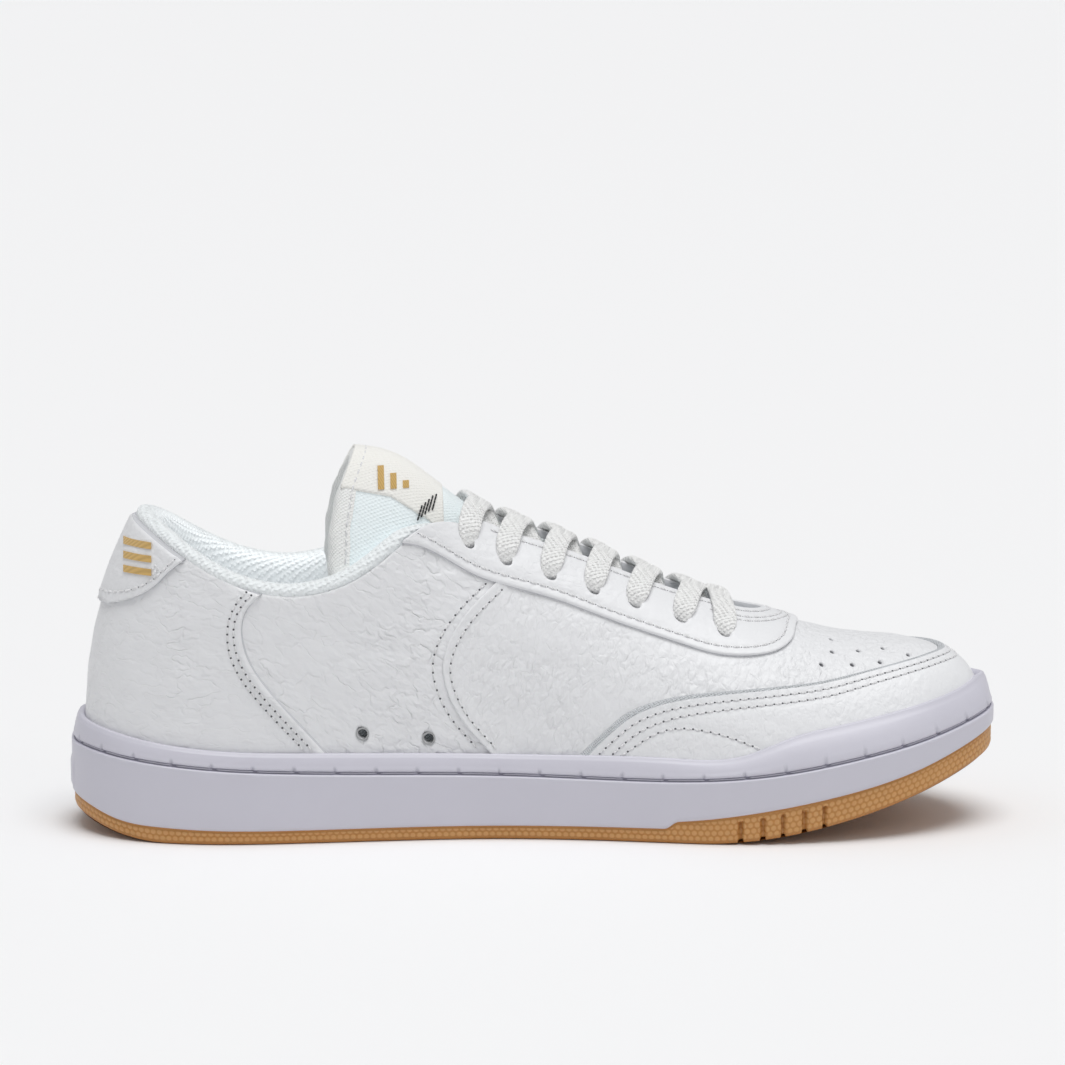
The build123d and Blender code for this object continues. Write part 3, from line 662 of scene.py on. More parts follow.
def panel(name, loop, material, top=LEATHER, back=LEATHER_BACK, holes=(), grooves=(), spacing=1.25,
          roll=0.6, wave=0.22, raised=None, edge=None, groove=0.35, band=0.0):
    """A sheet of leather cut to a closed chart loop, with rolled edges, holes, sewn grooves and a back."""
    loop = np.asarray(loop, float)
    borders = [loop] + [np.asarray(hole, float) for hole in holes]
    rings = []
    for number, border in enumerate(borders):
        sign = 1 if number == 0 else -1
        for distance in (0.18, 0.5, 1.0):
            rings.append(drawn_in(border, sign * distance))
    for line in grooves:
        rings.append(np.asarray(line, float))
    rings = np.vstack(rings)
    all_borders = np.vstack(borders)
    border_tree = tree_of(on_leather(all_borders))
    ring_tree = tree_of(on_leather(rings))
    rings = rings[inside(rings, loop) & (distances(border_tree, on_leather(rings)) > 0.12)]
    body = filling(loop, spacing)
    solid = on_leather(body)
    roomy = distances(border_tree, solid) > 0.75 * spacing
    roomy &= distances(ring_tree, solid) > 0.5 * spacing
    body = body[roomy]
    points = np.vstack([all_borders, rings, body])
    edges = []
    start = 0
    for border in borders:
        count = len(border)
        edges += [(start + k, start + (k + 1) % count) for k in range(count)]
        start += count
    flat = [Vector(row) for row in (points * CHART_SCALE).tolist()]
    verts, _, faces, _, _, _ = delaunay_2d_cdt(flat, edges, [], 1, 1e-6)
    chart = np.array([tuple(v) for v in verts]) / CHART_SCALE
    faces = np.array([tuple(face) for face in faces if len(face) == 3])
    middle = chart[faces].mean(1)
    keep = inside(middle, loop)
    for hole in borders[1:]:
        keep &= ~inside(middle, hole)
    faces = faces[keep]
    used = np.unique(faces)
    renumber = np.full(len(chart), -1)
    renumber[used] = np.arange(len(used))
    chart, faces = chart[used], renumber[faces]
    solid = on_leather(chart)
    depth = distances(border_tree, solid)
    offsets = np.full(len(chart), float(top))
    if raised is not None:
        line, amount, reach = raised
        offsets += amount * np.exp(-(distances(tree_of(on_leather(line)), solid) / reach) ** 2)
    uneven = relief(solid, 9.0, wave, len(name)) * np.clip(depth / 5, 0, 1)
    if len(grooves):
        near = distances(tree_of(on_leather(np.vstack([np.asarray(g, float) for g in grooves]))), solid)
        uneven *= 1 - np.exp(-(near / 2.4) ** 2)
        uneven -= groove * np.exp(-(near / 0.9) ** 2)
    offsets += uneven
    short = np.clip(1 - depth / roll, 0, 1)
    offsets -= roll * (1 - np.sqrt(np.clip(1 - short**2, 0, 1)))
    outer = place_each(chart, offsets)
    inner = place_each(chart, np.full(len(chart), float(back)))
    sides = np.vstack([faces[:, [0, 1]], faces[:, [1, 2]], faces[:, [2, 0]]])
    _, first, count = np.unique(np.sort(sides, 1), axis=0, return_index=True, return_counts=True)
    rim = sides[first[count == 1]]
    total = len(chart)
    wall = [(int(b), int(a), int(a) + total, int(b) + total) for a, b in rim]
    if edge:
        faces = faces[np.argsort(depth[faces].min(1) < band, kind="stable")]
    surface = [tuple(int(k) for k in face) for face in faces]
    in_band = int((depth[faces].min(1) < band).sum()) if edge else 0
    underside = [(c + total, b + total, a + total) for a, b, c in surface]
    faces = underside + surface + wall
    return piece(name, np.vstack([outer, inner]), faces, material, edge=edge, edge_faces=len(wall) + in_band)


def place_each(chart, offsets):
    """Chart points placed at their own offsets, by blending two grown lasts."""
    low = place(chart, 0.0)
    high = place(chart, 5.0)
    return low + (high - low) * (np.asarray(offsets)[:, None] / 5.0)


# ---- chart lines ----
def side_line(points, side, close_at_ridge=False):
    """A chart line through side view points. It can end where the line leaves the shoe's back."""
    dense = rounded(points, 0.6)
    x, z = dense.T
    station = station_of(x, z)
    inset = LAST_INSET - LEATHER
    on_shoe = np.abs(station) < HALF - inset - 0.05
    on_shoe &= z < last_top(station, inset, LEATHER) - 0.05
    chart = chart_of_side(dense[on_shoe], side)
    if not close_at_ridge:
        return chart
    if not on_shoe[0]:
        chart = np.vstack([[chart[0, 0], 0], chart])
    if not on_shoe[-1]:
        chart = np.vstack([chart, [chart[-1, 0], 0]])
    return chart


TOE_TURN = 1.555
HEEL_TURN = -1.562
HIDDEN_GIRTH = 0.965


def bottom_line(start, end, side, girth=HIDDEN_GIRTH):
    """A chart line hidden in the cup, between two values of x."""
    turns = np.arcsin(np.clip(np.array([start, end]) / (HALF - LAST_INSET + LEATHER), -1, 1))
    turns = np.clip(turns, HEEL_TURN, TOE_TURN)
    line = np.stack([np.linspace(*turns, 400), np.full(400, side * girth)], -1)
    return resample(line, 1.6, measure=on_leather)


def pole_line(turn):
    """Across the toe or the heel, hidden in the cup."""
    line = np.stack([np.full(200, turn), np.linspace(HIDDEN_GIRTH, -HIDDEN_GIRTH, 200)], -1)
    return resample(line, 1.6, measure=on_leather)


THROAT_SHIFT = float(centre(20))
THROAT_NOSE = 63.0
THROAT_RADIUS = 11.0


def plan_line(points):
    """A chart line through plan view points (x, y) in the frame's axes."""
    points = np.array(points, float)
    station = points[:, 0].copy()
    for _ in range(6):
        chart = chart_of_plan(np.stack([station, points[:, 1] - centre(points[:, 0])], -1))
        station = points[:, 0] - lean(on_leather(chart)[:, 2]) * ease(-station / 100)
    return chart


def throat_half(x):
    """Half the throat's width, which narrows towards the toe."""
    return np.interp(x, [-60, THROAT_NOSE], [14.0, THROAT_RADIUS])


def throat_side(side, inset=0.0):
    """The throat's long edge on one side, front to back, as far as the topline."""
    x = np.arange(THROAT_NOSE, -40, -0.6)
    chart = plan_line(np.stack([x, THROAT_SHIFT + side * (throat_half(x) - inset)], -1))
    points = on_leather(chart)
    topline = np.array(TOPLINE)
    below = points[:, 2] < np.interp(points[:, 0], topline[:, 0], topline[:, 1])
    last = int(np.argmin(below)) if not below.all() else len(x)
    return chart[:last]


def throat_nose(inset=0.0):
    """Round the front of the throat, lateral to medial."""
    angles = np.linspace(math.pi / 2, -math.pi / 2, 50)
    radius = THROAT_RADIUS - inset
    x = THROAT_NOSE + radius * np.cos(angles)
    y = THROAT_SHIFT + radius * np.sin(angles)
    return plan_line(np.stack([x, y], -1))


def topline_part(side, low_x, high_x):
    """The topline between two values of x, back to front."""
    line = side_line(TOPLINE, side, close_at_ridge=True)
    x = on_leather(line)[:, 0]
    return line[(x > low_x) & (x < high_x)]


def across_ridge(side_points, ridge_x):
    """A line from the medial side over the ridge to the lateral side."""
    medial = chart_of_side(side_points, -1)
    lateral = chart_of_side(side_points[::-1], 1)
    ridge = [[math.asin(ridge_x / (HALF - LAST_INSET + LEATHER)), 0]]
    return rounded(np.vstack([medial, ridge, lateral]), 0.8, on_leather)


def loop_of(*lines, step=0.8):
    whole = np.vstack(lines)
    gaps = np.linalg.norm(on_leather(whole) - on_leather(np.roll(whole, 1, 0)), axis=1)
    whole = whole[gaps > 0.05]
    return resample(whole, step, closed=True, measure=on_leather)


def shifted(points, distance):
    return [(x + distance, z) for x, z in points]


def beside(line, distance):
    """A chart line moved sideways by a distance in millimetres, to its left for positive values."""
    sizes = metric(line)
    tangent = unit(np.gradient(line, axis=0) * sizes)
    return line + np.stack([-tangent[:, 1], tangent[:, 0]], -1) * distance / sizes


def hole_loop(chart, radius, count=16):
    angles = circle(count)
    return np.asarray(chart) + radius * np.stack([np.cos(angles), np.sin(angles)], -1) / metric(chart)


eyelets = {side: chart_of_side(EYELET_POINTS, side) for side in (-1, 1)}
vents = {-1: chart_of_side(VENT_POINTS, -1), 1: []}
perforations = np.vstack([
    plan_line([(x, centre(x) + side * y)]) for x, y in PERFORATION_POINTS for side in (-1, 1)
])

heel_seam = {side: side_line(HEEL_SEAM, side) for side in (-1, 1)}
mid_seam = {side: side_line(MID_SEAM, side) for side in (-1, 1)}
tab_edge = {side: side_line(TAB_EDGE, side, close_at_ridge=True) for side in (-1, 1)}
eyestay_edge = across_ridge(EYESTAY_EDGE + [(81.3, 59.4), (84.0, 62.2)], 85.5)
guard_edge = across_ridge(GUARD_EDGE + [(121, 53.6)], 131)
throat_lateral, throat_medial, nose = throat_side(1), throat_side(-1), throat_nose()
throat_end = float(on_leather(throat_lateral[-1:])[0, 0])

heel_loop = loop_of(
    heel_seam[-1][::-1], topline_part(-1, -170, -87.4)[::-1], topline_part(1, -170, -87.4), heel_seam[1],
    bottom_line(-60, -150, 1), pole_line(HEEL_TURN), bottom_line(-150, -60, -1),
)
tab_loop = loop_of(
    tab_edge[-1], tab_edge[1][::-1], topline_part(1, -170, -111.2)[::-1], topline_part(-1, -170, -111.2),
)
under_eyestay = eyestay_edge[on_leather(eyestay_edge)[:, 0] > -12]
vamp_loop = loop_of(
    mid_seam[-1][::-1], under_eyestay[under_eyestay[:, 1] < 0] + [0, 0.04],
    under_eyestay[under_eyestay[:, 1] > 0] - [0, 0.04], mid_seam[1],
    bottom_line(-10, 150, 1), pole_line(TOE_TURN), bottom_line(150, -10, -1),
)
eyestay_loop = loop_of(
    eyestay_edge, topline_part(1, -42.8, throat_end), throat_lateral[::-1], nose, throat_medial,
    topline_part(-1, -42.8, throat_end)[::-1],
)
guard_loop = loop_of(
    guard_edge, bottom_line(8, 150, 1), pole_line(TOE_TURN), bottom_line(150, 8, -1),
)
quarter_loops = {
    side: loop_of(
        side_line(shifted(HEEL_SEAM, -3), side)[::-1], topline_part(side, -87.4, -43),
        side_line([(-43, 93.4), (-35.7, 94), (-28, 90.2), (-20.3, 85.7), (-9, 82)], side),
        side_line(shifted(MID_SEAM, 3), side), bottom_line(-10, -60, side),
    )
    for side in (-1, 1)
}

# ---- the upper's rows of stitches, which also press soft grooves into the leather ----
heel_raise = (np.vstack([heel_seam[-1], heel_seam[1]]), 1.25, 5.5)
vamp_raise = (np.vstack([mid_seam[-1], mid_seam[1]]), 0.9, 4.5)


def above_cup(line, margin=1.0):
    points = on_leather(line)
    return line[points[:, 2] > rand_height(points[:, 0]) + margin]


def inwards(line, gap, loop):
    """A line moved by a distance to the side where the leather is."""
    row = beside(line, gap)
    half = len(row) // 2
    return row if inside(row[half:half + 1], loop)[0] else beside(line, -gap)


def within(line, gap, loop):
    """A row of stitches at a distance from an edge, where it lies on the leather."""
    row = inwards(line, gap, loop)
    return above_cup(row[inside(row, loop)])


heel_rows = [within(heel_seam[side], gap, heel_loop) for gap in (2.2, 4.5) for side in (-1, 1)]
vamp_rows = [within(mid_seam[side], 2.6, vamp_loop) for side in (-1, 1)]
quarter_rows = {side: [above_cup(side_line(shifted(MID_SEAM, -3.2), side))] for side in (-1, 1)}
eyestay_rows = [inwards(eyestay_edge, 3.0, eyestay_loop)[8:-8]]
eyestay_rows += [throat_side(side, -2.6)[4:-8] for side in (-1, 1)] + [throat_nose(-2.6)]
eyestay_rows += [throat_nose(-6.2), throat_nose(-8.2)] + [throat_side(side, -6.2)[:14] for side in (-1, 1)]
guard_rows = [above_cup(inwards(guard_edge, gap, guard_loop)) for gap in (3.0, 5.6)]
guard_arc = [(22.6, 25.9), (29.6, 30.7), (38, 35.3), (44.8, 36.3), (50.1, 35.8), (59.1, 33.7), (68.6, 30.2)]
guard_rows += [above_cup(side_line(guard_arc, side), 0.2) for side in (-1, 1)]
tab_lines = [inwards(tab_edge[side], 2.8, tab_loop) for side in (-1, 1)]
tab_rows = [line[inside(line, tab_loop)] for line in tab_lines]


def raise_at(points, raised):
    if raised is None:
        return np.zeros(len(points))
    line, amount, reach = raised
    return amount * np.exp(-(distances(tree_of(on_leather(line)), points) / reach) ** 2)


STITCH_SHAPE = ((-0.5, 0.25), (-0.42, 0.75), (-0.25, 1), (0, 1.08), (0.25, 1), (0.42, 0.75), (0.5, 0.25))
STITCH_SINK = 0.12
SPOKES = 8


def stitches(name, rows, top, raised=None, pitch=3.2, length=2.5, radius=0.34, hole=0.36):
    """Rows of short rounded stitches with a needle hole at each end, drawn as a dark disc of painted shade.
    """
    points, faces, hole_points, hole_faces = [], [], [], []
    for row in rows:
        row = resample(row, pitch, measure=on_leather)
        if len(row) < 2:
            continue
        solid = on_leather(row)
        offsets = top + raise_at(solid, raised) - STITCH_SINK
        centres = place_each(row, offsets)
        normals = outward(row, LEATHER)
        for k in range(len(row) - 1):
            middle = (centres[k] + centres[k + 1]) / 2
            along = centres[k + 1] - centres[k]
            gap = np.linalg.norm(along)
            if gap > 2 * pitch or gap < 0.2:
                continue
            along = along / gap
            normal = unit(normals[k] - along * np.dot(normals[k], along))
            across = np.cross(normal, along)
            start = len(points)
            share = length / pitch * gap
            for u, size in STITCH_SHAPE:
                dip = -0.55 * radius * (2 * u) ** 4
                for angle in circle(SPOKES):
                    ring = across * math.cos(angle) * size + normal * math.sin(angle) * size * 0.8
                    points.append(middle + along * share * u + ring * radius + normal * dip)
            faces += tube_faces(len(STITCH_SHAPE), SPOKES, start)
            # painted shade: a dark disc for the needle hole
            spot = len(hole_points)
            base = centres[k] + normal * (STITCH_SINK - 0.28)
            for angle in circle(SPOKES):
                spoke = across * math.cos(angle) + along * math.sin(angle)
                hole_points.append(base + spoke * hole + normal * 0.03)
            hole_faces.append(tuple(spot + j for j in range(SPOKES))[::-1])
    made = piece(name, points, faces, "stitch")
    piece(name + "_hole_shade", hole_points, hole_faces, "needle_hole_shade")
    return made


heel_panel = panel(
    "heel_leather", heel_loop, "heel", grooves=heel_rows, raised=heel_raise, wave=0.32, edge="cut_edge_shade",
)
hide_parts("heel_panel")
for side, label in ((-1, "medial"), (1, "lateral")):
    holes = [hole_loop(vent, VENT_RADIUS - 0.2) for vent in vents[side]]
    panel(
        "quarter_leather_" + label, quarter_loops[side], "quarter", holes=holes,
        grooves=quarter_rows[side], wave=0.4,
    )
    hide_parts("quarter_" + label)
vamp_holes = [hole_loop(spot, PERFORATION_RADIUS, 12) for spot in perforations]
vamp_panel = panel(
    "vamp_leather", vamp_loop, "vamp", holes=vamp_holes, grooves=vamp_rows, raised=vamp_raise, wave=0.22,
    edge="cut_edge_shade",
)
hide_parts("vamp")
eyelet_holes = [hole_loop(spot, EYELET_RADIUS) for side in (-1, 1) for spot in eyelets[side]]
eyestay_panel = panel(
    "eyestay_leather", eyestay_loop, "eyestay", top=OVERLAY, back=0.5, holes=eyelet_holes,
    grooves=eyestay_rows, wave=0.12, roll=0.7, spacing=1.0, edge="cut_edge_shade",
)
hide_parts("eyestay")
tab_panel = panel(
    "heel_tab_leather", tab_loop, "eyestay", top=OVERLAY, back=3.2, grooves=tab_rows, wave=0.1,
    edge="cut_edge_shade",
)
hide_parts("heel_tab")
guard_panel = panel(
    "toe_guard_leather", guard_loop, "guard", top=OVERLAY, back=3.0, grooves=guard_rows, wave=0.12, roll=0.7,
    edge="raw_edge", band=0.9,
)
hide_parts("toe_guard")

stitches("heel_stitches", heel_rows, LEATHER, heel_raise, pitch=2.5, length=1.9)
stitches("vamp_stitches", vamp_rows, LEATHER, vamp_raise, pitch=2.9, length=2.2)
stitches("quarter_stitches", quarter_rows[-1] + quarter_rows[1], LEATHER, pitch=2.9, length=2.2)
stitches("eyestay_stitches", eyestay_rows, OVERLAY, radius=0.40, hole=0.22)
stitches("tab_stitches", tab_rows, OVERLAY, radius=0.42, hole=0.22)
stitches("guard_stitches", guard_rows, OVERLAY, pitch=2.7, length=2.1)
tack_rows = []
for n in range(2):
    tack = [(-121.2 + n * 0.8, 85.6 - n * 0.9), (-118.9 + n * 0.8, 88.2 - n * 0.9)]
    tack_rows += [side_line(tack, side) for side in (-1, 1)]
stitches("tab_tacks", tack_rows, OVERLAY, pitch=1.1, length=1.0, radius=0.5, hole=0.1)

# a dark disc in each toe perforation: painted shade at the bottom of the hole
points, faces = [], []
for spot in perforations:
    start = len(points)
    ring = hole_loop(spot, PERFORATION_RADIUS * 1.15, 12)
    points += list(place_each(ring, np.full(12, 2.7)))
    faces.append(tuple(start + j for j in range(12)))
piece("perforation_shade_discs", points, faces, "needle_hole_shade")


# ---- collar: a knitted roll above the leather's edge that runs down into a pad inside ----
COLLAR_STEP = 0.45


def collar_line():
    medial = topline_part(-1, -170, -30)[::-1]
    lateral = topline_part(1, -170, -30)
    return resample(np.vstack([medial, lateral]), COLLAR_STEP, measure=on_leather)


collar_path = collar_line()
collar_points = softened(on_leather(collar_path), 12, 2)
collar_normals = softened(outward(collar_path, LEATHER), 30, 1)
collar_tangents = unit(np.gradient(collar_points, axis=0))
collar_normals -= collar_tangents * np.sum(collar_normals * collar_tangents, 1, keepdims=True)
collar_normals = unit(collar_normals)
collar_ups = np.cross(collar_tangents, collar_normals)
collar_ups *= np.sign(collar_ups[:, 2:])

SECTION_STEP = 0.42
COLLAR_SECTION = [
    (-1.0, -2.2), (-0.8, -0.4), (-0.2, 0.9), (-0.3, 2.2), (-1.2, 3.3), (-2.8, 3.9), (-4.8, 3.8), (-6.8, 3.0),
    (-8.4, 1.4), (-9.3, -1.2), (-9.5, -4.5), (-9.2, -8.5), (-8.2, -13), (-6.6, -17.5), (-4.8, -21),
    (-3.2, -23.5),
]
collar_section = rounded(COLLAR_SECTION, SECTION_STEP)
section_along = np.arange(len(collar_section)) * SECTION_STEP
section_tangent = unit(np.gradient(collar_section, axis=0))
section_normal = np.stack([-section_tangent[:, 1], section_tangent[:, 0]], -1)
count = len(collar_points)
run = np.arange(count) * COLLAR_STEP
fade = ease(np.minimum(run, run[-1] - run) / 16)
rows = []
for k in range(count):
    stitch = np.sin(run[k] * 2 * math.pi / 1.7 + 0.9 * np.sin(section_along * 2 * math.pi / 2.1))
    purl = np.sin(section_along * 2 * math.pi / 1.25)
    lift_up = (0.13 - 0.06 * ease((-3 - collar_section[:, 0]) / 4)) * stitch * (0.55 + 0.45 * purl)
    flat = collar_section + section_normal * lift_up[:, None]
    squeezed = 0.25 + 0.75 * fade[k]
    across = -3.0 + (flat[:, 0] + 3.0) * np.where(flat[:, 0] < -3.0, squeezed, 1.0)
    rise = np.where(flat[:, 1] > 0, flat[:, 1] * (0.35 + 0.65 * fade[k]), flat[:, 1])
    rows.append(collar_points[k] + np.outer(across, collar_normals[k]) + np.outer(rise, collar_ups[k]))
collar = piece("collar_knit", np.vstack(rows), grid_faces(count, len(collar_section)), "knit")
# how far inside the collar each vertex lies; the knit's painted glow follows it
mark(collar, "inside", np.tile(ease((-3.5 - collar_section[:, 0]) / 4), count))
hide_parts("collar_lining", "collar_foam")

lining_loop = loop_of(
    bottom_line(-150, 58, -1, 0.985), throat_medial[on_leather(throat_medial)[:, 0] < 58],
    topline_part(-1, -170, throat_end)[::-1], topline_part(1, -170, throat_end),
    throat_lateral[on_leather(throat_lateral)[:, 0] < 58][::-1], bottom_line(-150, 58, 1, 0.985)[::-1],
    step=1.6,
)
lining = panel("lining_cloth", lining_loop, "lining", top=1.0, back=0.0, wave=0.0, spacing=2.2, roll=0.3)
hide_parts("quarter_lining")

# a narrow knitted edge shows along the inside of the throat
for side, line in ((-1, throat_medial), (1, throat_lateral)):
    edge_line = resample(line[on_leather(line)[:, 0] < 8], 0.7, measure=on_leather)
    base = place_each(edge_line, np.full(len(edge_line), 1.2))
    normal = outward(edge_line, LEATHER)
    along = unit(np.gradient(base, axis=0))
    inward = np.cross(along, normal)
    inward *= -np.sign(inward[:, 1:2]) * side
    rows = []
    for k, spot in enumerate(base):
        thin = ease(k / 25)
        angles = circle(12)
        radius = 1.5 * (0.35 + 0.65 * thin) * (1 + 0.06 * math.sin(k * 2.6))
        ring = np.outer(np.cos(angles), inward[k]) + np.outer(np.sin(angles), normal[k])
        rows.append(spot + ring * radius)
    edging = piece("throat_edging_" + ("medial" if side < 0 else "lateral"), np.vstack(rows),
                   grid_faces(len(base), 12, wrap_columns=True), "knit")


# ---- sockliner ----
def plan_slab(name, inset, low, high, material, steps=150, columns=41, lip=0.0):
    turns = np.linspace(-1.53, 1.53, steps)
    x = (HALF - inset) * np.sin(turns)
    shares = np.sin(np.linspace(-QUARTER_TURN, QUARTER_TURN, columns))
    top, bottom = [], []
    for station in x:
        y = centre(station) + shares * half_width(station, inset)
        level = high(station) + lip * np.abs(shares) ** 4 - 1.2 * np.abs(shares) ** 8
        top.append(np.stack([np.full(columns, station), y, level], -1))
        bottom.append(np.stack([np.full(columns, station), y, np.full(columns, low(station))], -1))
    return piece(name, np.vstack(top + bottom), closed_faces(steps, columns), material)


sock = plan_slab(
    "sockliner_cloth", LAST_INSET + 1.5, lambda x: footbed(x) + 0.1, lambda x: footbed(x) + 4.6,
    "lining", lip=1.2,
)
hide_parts("sockliner")


# ---- tongue ----
TONGUE_LOW = [(80, 49), (40, 59), (0, 71), (-30, 80), (-48, 78), (-64, 74)]
TONGUE_REAR = [(-64, 74), (-66, 85), (-65.5, 97), (-63, 110), (-59, 119), (-56, 125)]
LABEL_EDGE = [(-61, 109.5), (-46, 106.3), (-34, 98.5), (-29, 93)]
TONGUE_THICK = 6.4
TONGUE_FRONT = 80.0


def half_breadth(x, z, inset, offset):
    station = station_of(x, z)
    base = footbed(station) - offset
    top = last_top(station, inset, offset)
    power = roundness(station)
    share = np.clip((z - base) / (top - base), 0, 1)
    return half_width(station, inset) * np.clip(1 - share**power, 0, 1) ** (1 / power)


def tongue_point(x, angle, depth):
    """A point on the tongue's arch. The angle runs from the side at 0 to the ridge at a quarter turn."""
    x = np.asarray(x, float)
    side = -2.3 - 4.7 * ease((-8 - x) / 30) - depth
    ridge = tongue_ridge(x) - depth
    low = 46 + 34 * ease((88 - x) / 118)
    base = footbed(x) + depth
    power = roundness(x)
    share = ((low - base) / (ridge - base)) ** power
    reach = half_breadth(x, low, LAST_INSET - side, side) / (1 - share) ** (1 / power)
    sign = np.sign(QUARTER_TURN - angle)
    folded = np.where(angle > QUARTER_TURN, math.pi - angle, angle)
    y = reach * np.clip(np.cos(folded), 0, 1) ** (2 / power) * sign
    z = base + (ridge - base) * np.sin(folded) ** (2 / power)
    return np.stack([x, centre(x) + y, z], -1)


def tongue_grid(columns=65, length_steps=110, low_line=TONGUE_LOW, front=TONGUE_FRONT, rear_shift=0.0):
    """Rows front to rear; each column runs from the lateral low edge over the ridge to the medial one."""
    rear = np.array(TONGUE_REAR)
    low = np.array(sorted(low_line))
    shares = np.linspace(-1, 1, columns)
    xs = np.linspace(front, -67, 500)
    angles = np.zeros((500, columns))
    for k, x in enumerate(xs):
        base, ridge = footbed(x), tongue_ridge(x)
        height = np.clip((np.interp(x, low[:, 0], low[:, 1]) - base) / (ridge - base), 0.01, 0.98)
        cut = math.asin(float(height) ** (float(roundness(x)) / 2))
        angles[k] = QUARTER_TURN + shares * (QUARTER_TURN - cut)
    grid_x = np.zeros((length_steps, columns))
    grid_angle = np.zeros((length_steps, columns))
    for j in range(columns):
        points = tongue_point(xs, angles[:, j], 0)
        limit = np.interp(points[:, 2], rear[:, 1], rear[:, 0]) + rear_shift
        past = points[:, 0] < limit
        last = int(np.argmax(past)) if past.any() else 499
        xs_used = np.linspace(front, xs[last], length_steps)
        grid_x[:, j] = xs_used
        grid_angle[:, j] = np.interp(-xs_used, -xs, angles[:, j])
    return grid_x, grid_angle


def settle(obj, held, most, pressure=3.0, frames=14):
    """Lets cloth swell out like a filled pad. Held is how firmly each vertex is sewn down."""
    rest = np.array([v.co for v in obj.data.vertices])
    group = obj.vertex_groups.new(name="held")
    for index, weight in enumerate(held):
        group.add([index], float(weight), "REPLACE")
    modifier = obj.modifiers.new("cloth", "CLOTH")
    settings = modifier.settings
    settings.quality = 6
    settings.mass = 0.15
    settings.tension_stiffness = settings.compression_stiffness = 20
    settings.shear_stiffness = 10
    settings.bending_stiffness = 1.5
    settings.vertex_group_mass = "held"
    settings.use_pressure = True
    settings.uniform_pressure_force = pressure
    settings.effector_weights.gravity = 0
    modifier.collision_settings.use_collision = False
    modifier.point_cache.frame_start = 1
    modifier.point_cache.frame_end = frames
    for number in range(1, frames + 1):
        bpy.context.scene.frame_set(number)
    solved = obj.evaluated_get(bpy.context.evaluated_depsgraph_get())
    moved = np.array([v.co for v in solved.data.vertices]) - rest
    obj.modifiers.remove(modifier)
    obj.vertex_groups.clear()
    bpy.context.scene.frame_set(1)
    size = np.linalg.norm(moved, axis=1, keepdims=True)
    limit = most * MM
    moved *= np.where(size > limit, limit / np.maximum(size, 1e-9), 1)
    obj.data.vertices.foreach_set("co", (rest + moved).reshape(-1))
    obj.data.update()


grid_x, grid_angle = tongue_grid()
outer_sheet = tongue_point(grid_x, grid_angle, 0.0)
inner_sheet = tongue_point(grid_x, grid_angle, TONGUE_THICK)
length_steps, columns = grid_x.shape
side_gap = np.linalg.norm(np.diff(outer_sheet, axis=1), axis=2)
from_left = np.concatenate([np.zeros((length_steps, 1)), np.cumsum(side_gap, axis=1)], axis=1)
from_right = from_left[:, -1:] - from_left
from_rear = np.linalg.norm(outer_sheet - outer_sheet[-1:], axis=2)
edge_distance = np.minimum(np.minimum(from_left, from_right), from_rear)
edge_distance = np.minimum(edge_distance, np.linalg.norm(outer_sheet - outer_sheet[:1], axis=2))
pinch = 1 - np.sqrt(np.clip(1 - (1 - np.clip(edge_distance / 4.0, 0, 1)) ** 2, 0, 1))
puff = 0.9 * np.sin(np.clip(edge_distance / 16, 0, 1) * QUARTER_TURN) * ease((0 - grid_x) / 30)
direction = unit(outer_sheet - inner_sheet)
middle_sheet = (outer_sheet + inner_sheet) / 2
half_thick = np.linalg.norm(outer_sheet - inner_sheet, axis=2) / 2
outer_face = middle_sheet + direction * (half_thick * (1 - pinch) + puff * 0.25)[..., None]
inner_face = middle_sheet - direction * (half_thick * (1 - pinch))[..., None]
tongue_points = np.vstack([outer_face.reshape(-1, 3), inner_face.reshape(-1, 3)])
tongue = piece("tongue_pad", tongue_points, closed_faces(length_steps, columns), "tongue", body="tongue")
held = np.clip(1 - edge_distance / 7, 0, 1).reshape(-1)
settle(tongue, np.concatenate([held, held]), 0.9)
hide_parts("tongue_face", "tongue_foam", "tongue_lining")


# a woven label folded over the top
label_x, label_angle = tongue_grid(61, 70, LABEL_EDGE, -29.0, 1.2)
label_top = tongue_point(label_x, label_angle, -0.75)
label_under = tongue_point(label_x, label_angle, 0.6)
label_points = np.vstack([label_top.reshape(-1, 3), label_under.reshape(-1, 3)])
label = piece("tongue_label_weave", label_points, closed_faces(*label_x.shape), "label", body="tongue")
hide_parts("tongue_label")

# tape folded over the rear edge, with a row of stitches
tape_rows = []
for j in range(columns):
    path = resample(np.vstack([outer_face[-6:, j], inner_face[-6:, j][::-1]]), 0.5)
    path = resample(path, np.linalg.norm(np.diff(path, axis=0), axis=1).sum() / 24)[:25]
    along = unit(np.gradient(path, axis=0))
    edge_run = unit(outer_face[-1, min(j + 1, columns - 1)] - outer_face[-1, max(j - 1, 0)])
    out = np.cross(along, edge_run)
    out *= np.sign(np.dot(out[0], direction[-6, j]))
    thin = 0.15 + 0.35 * np.sin(np.linspace(0, math.pi, len(path))) ** 0.3
    tape_rows.append(path + out * thin[:, None])
tape_count = min(len(row) for row in tape_rows)
tape_rows = [row[:tape_count] for row in tape_rows]
tape = piece("tongue_tape", np.vstack(tape_rows), grid_faces(columns, tape_count), "binding", body="tongue")
tape_line = outer_face[-5] + direction[-5] * 0.55


CHAIN_SHAPE = ((-0.5, 0.3), (-0.38, 0.85), (0, 1.0), (0.38, 0.85), (0.5, 0.3))


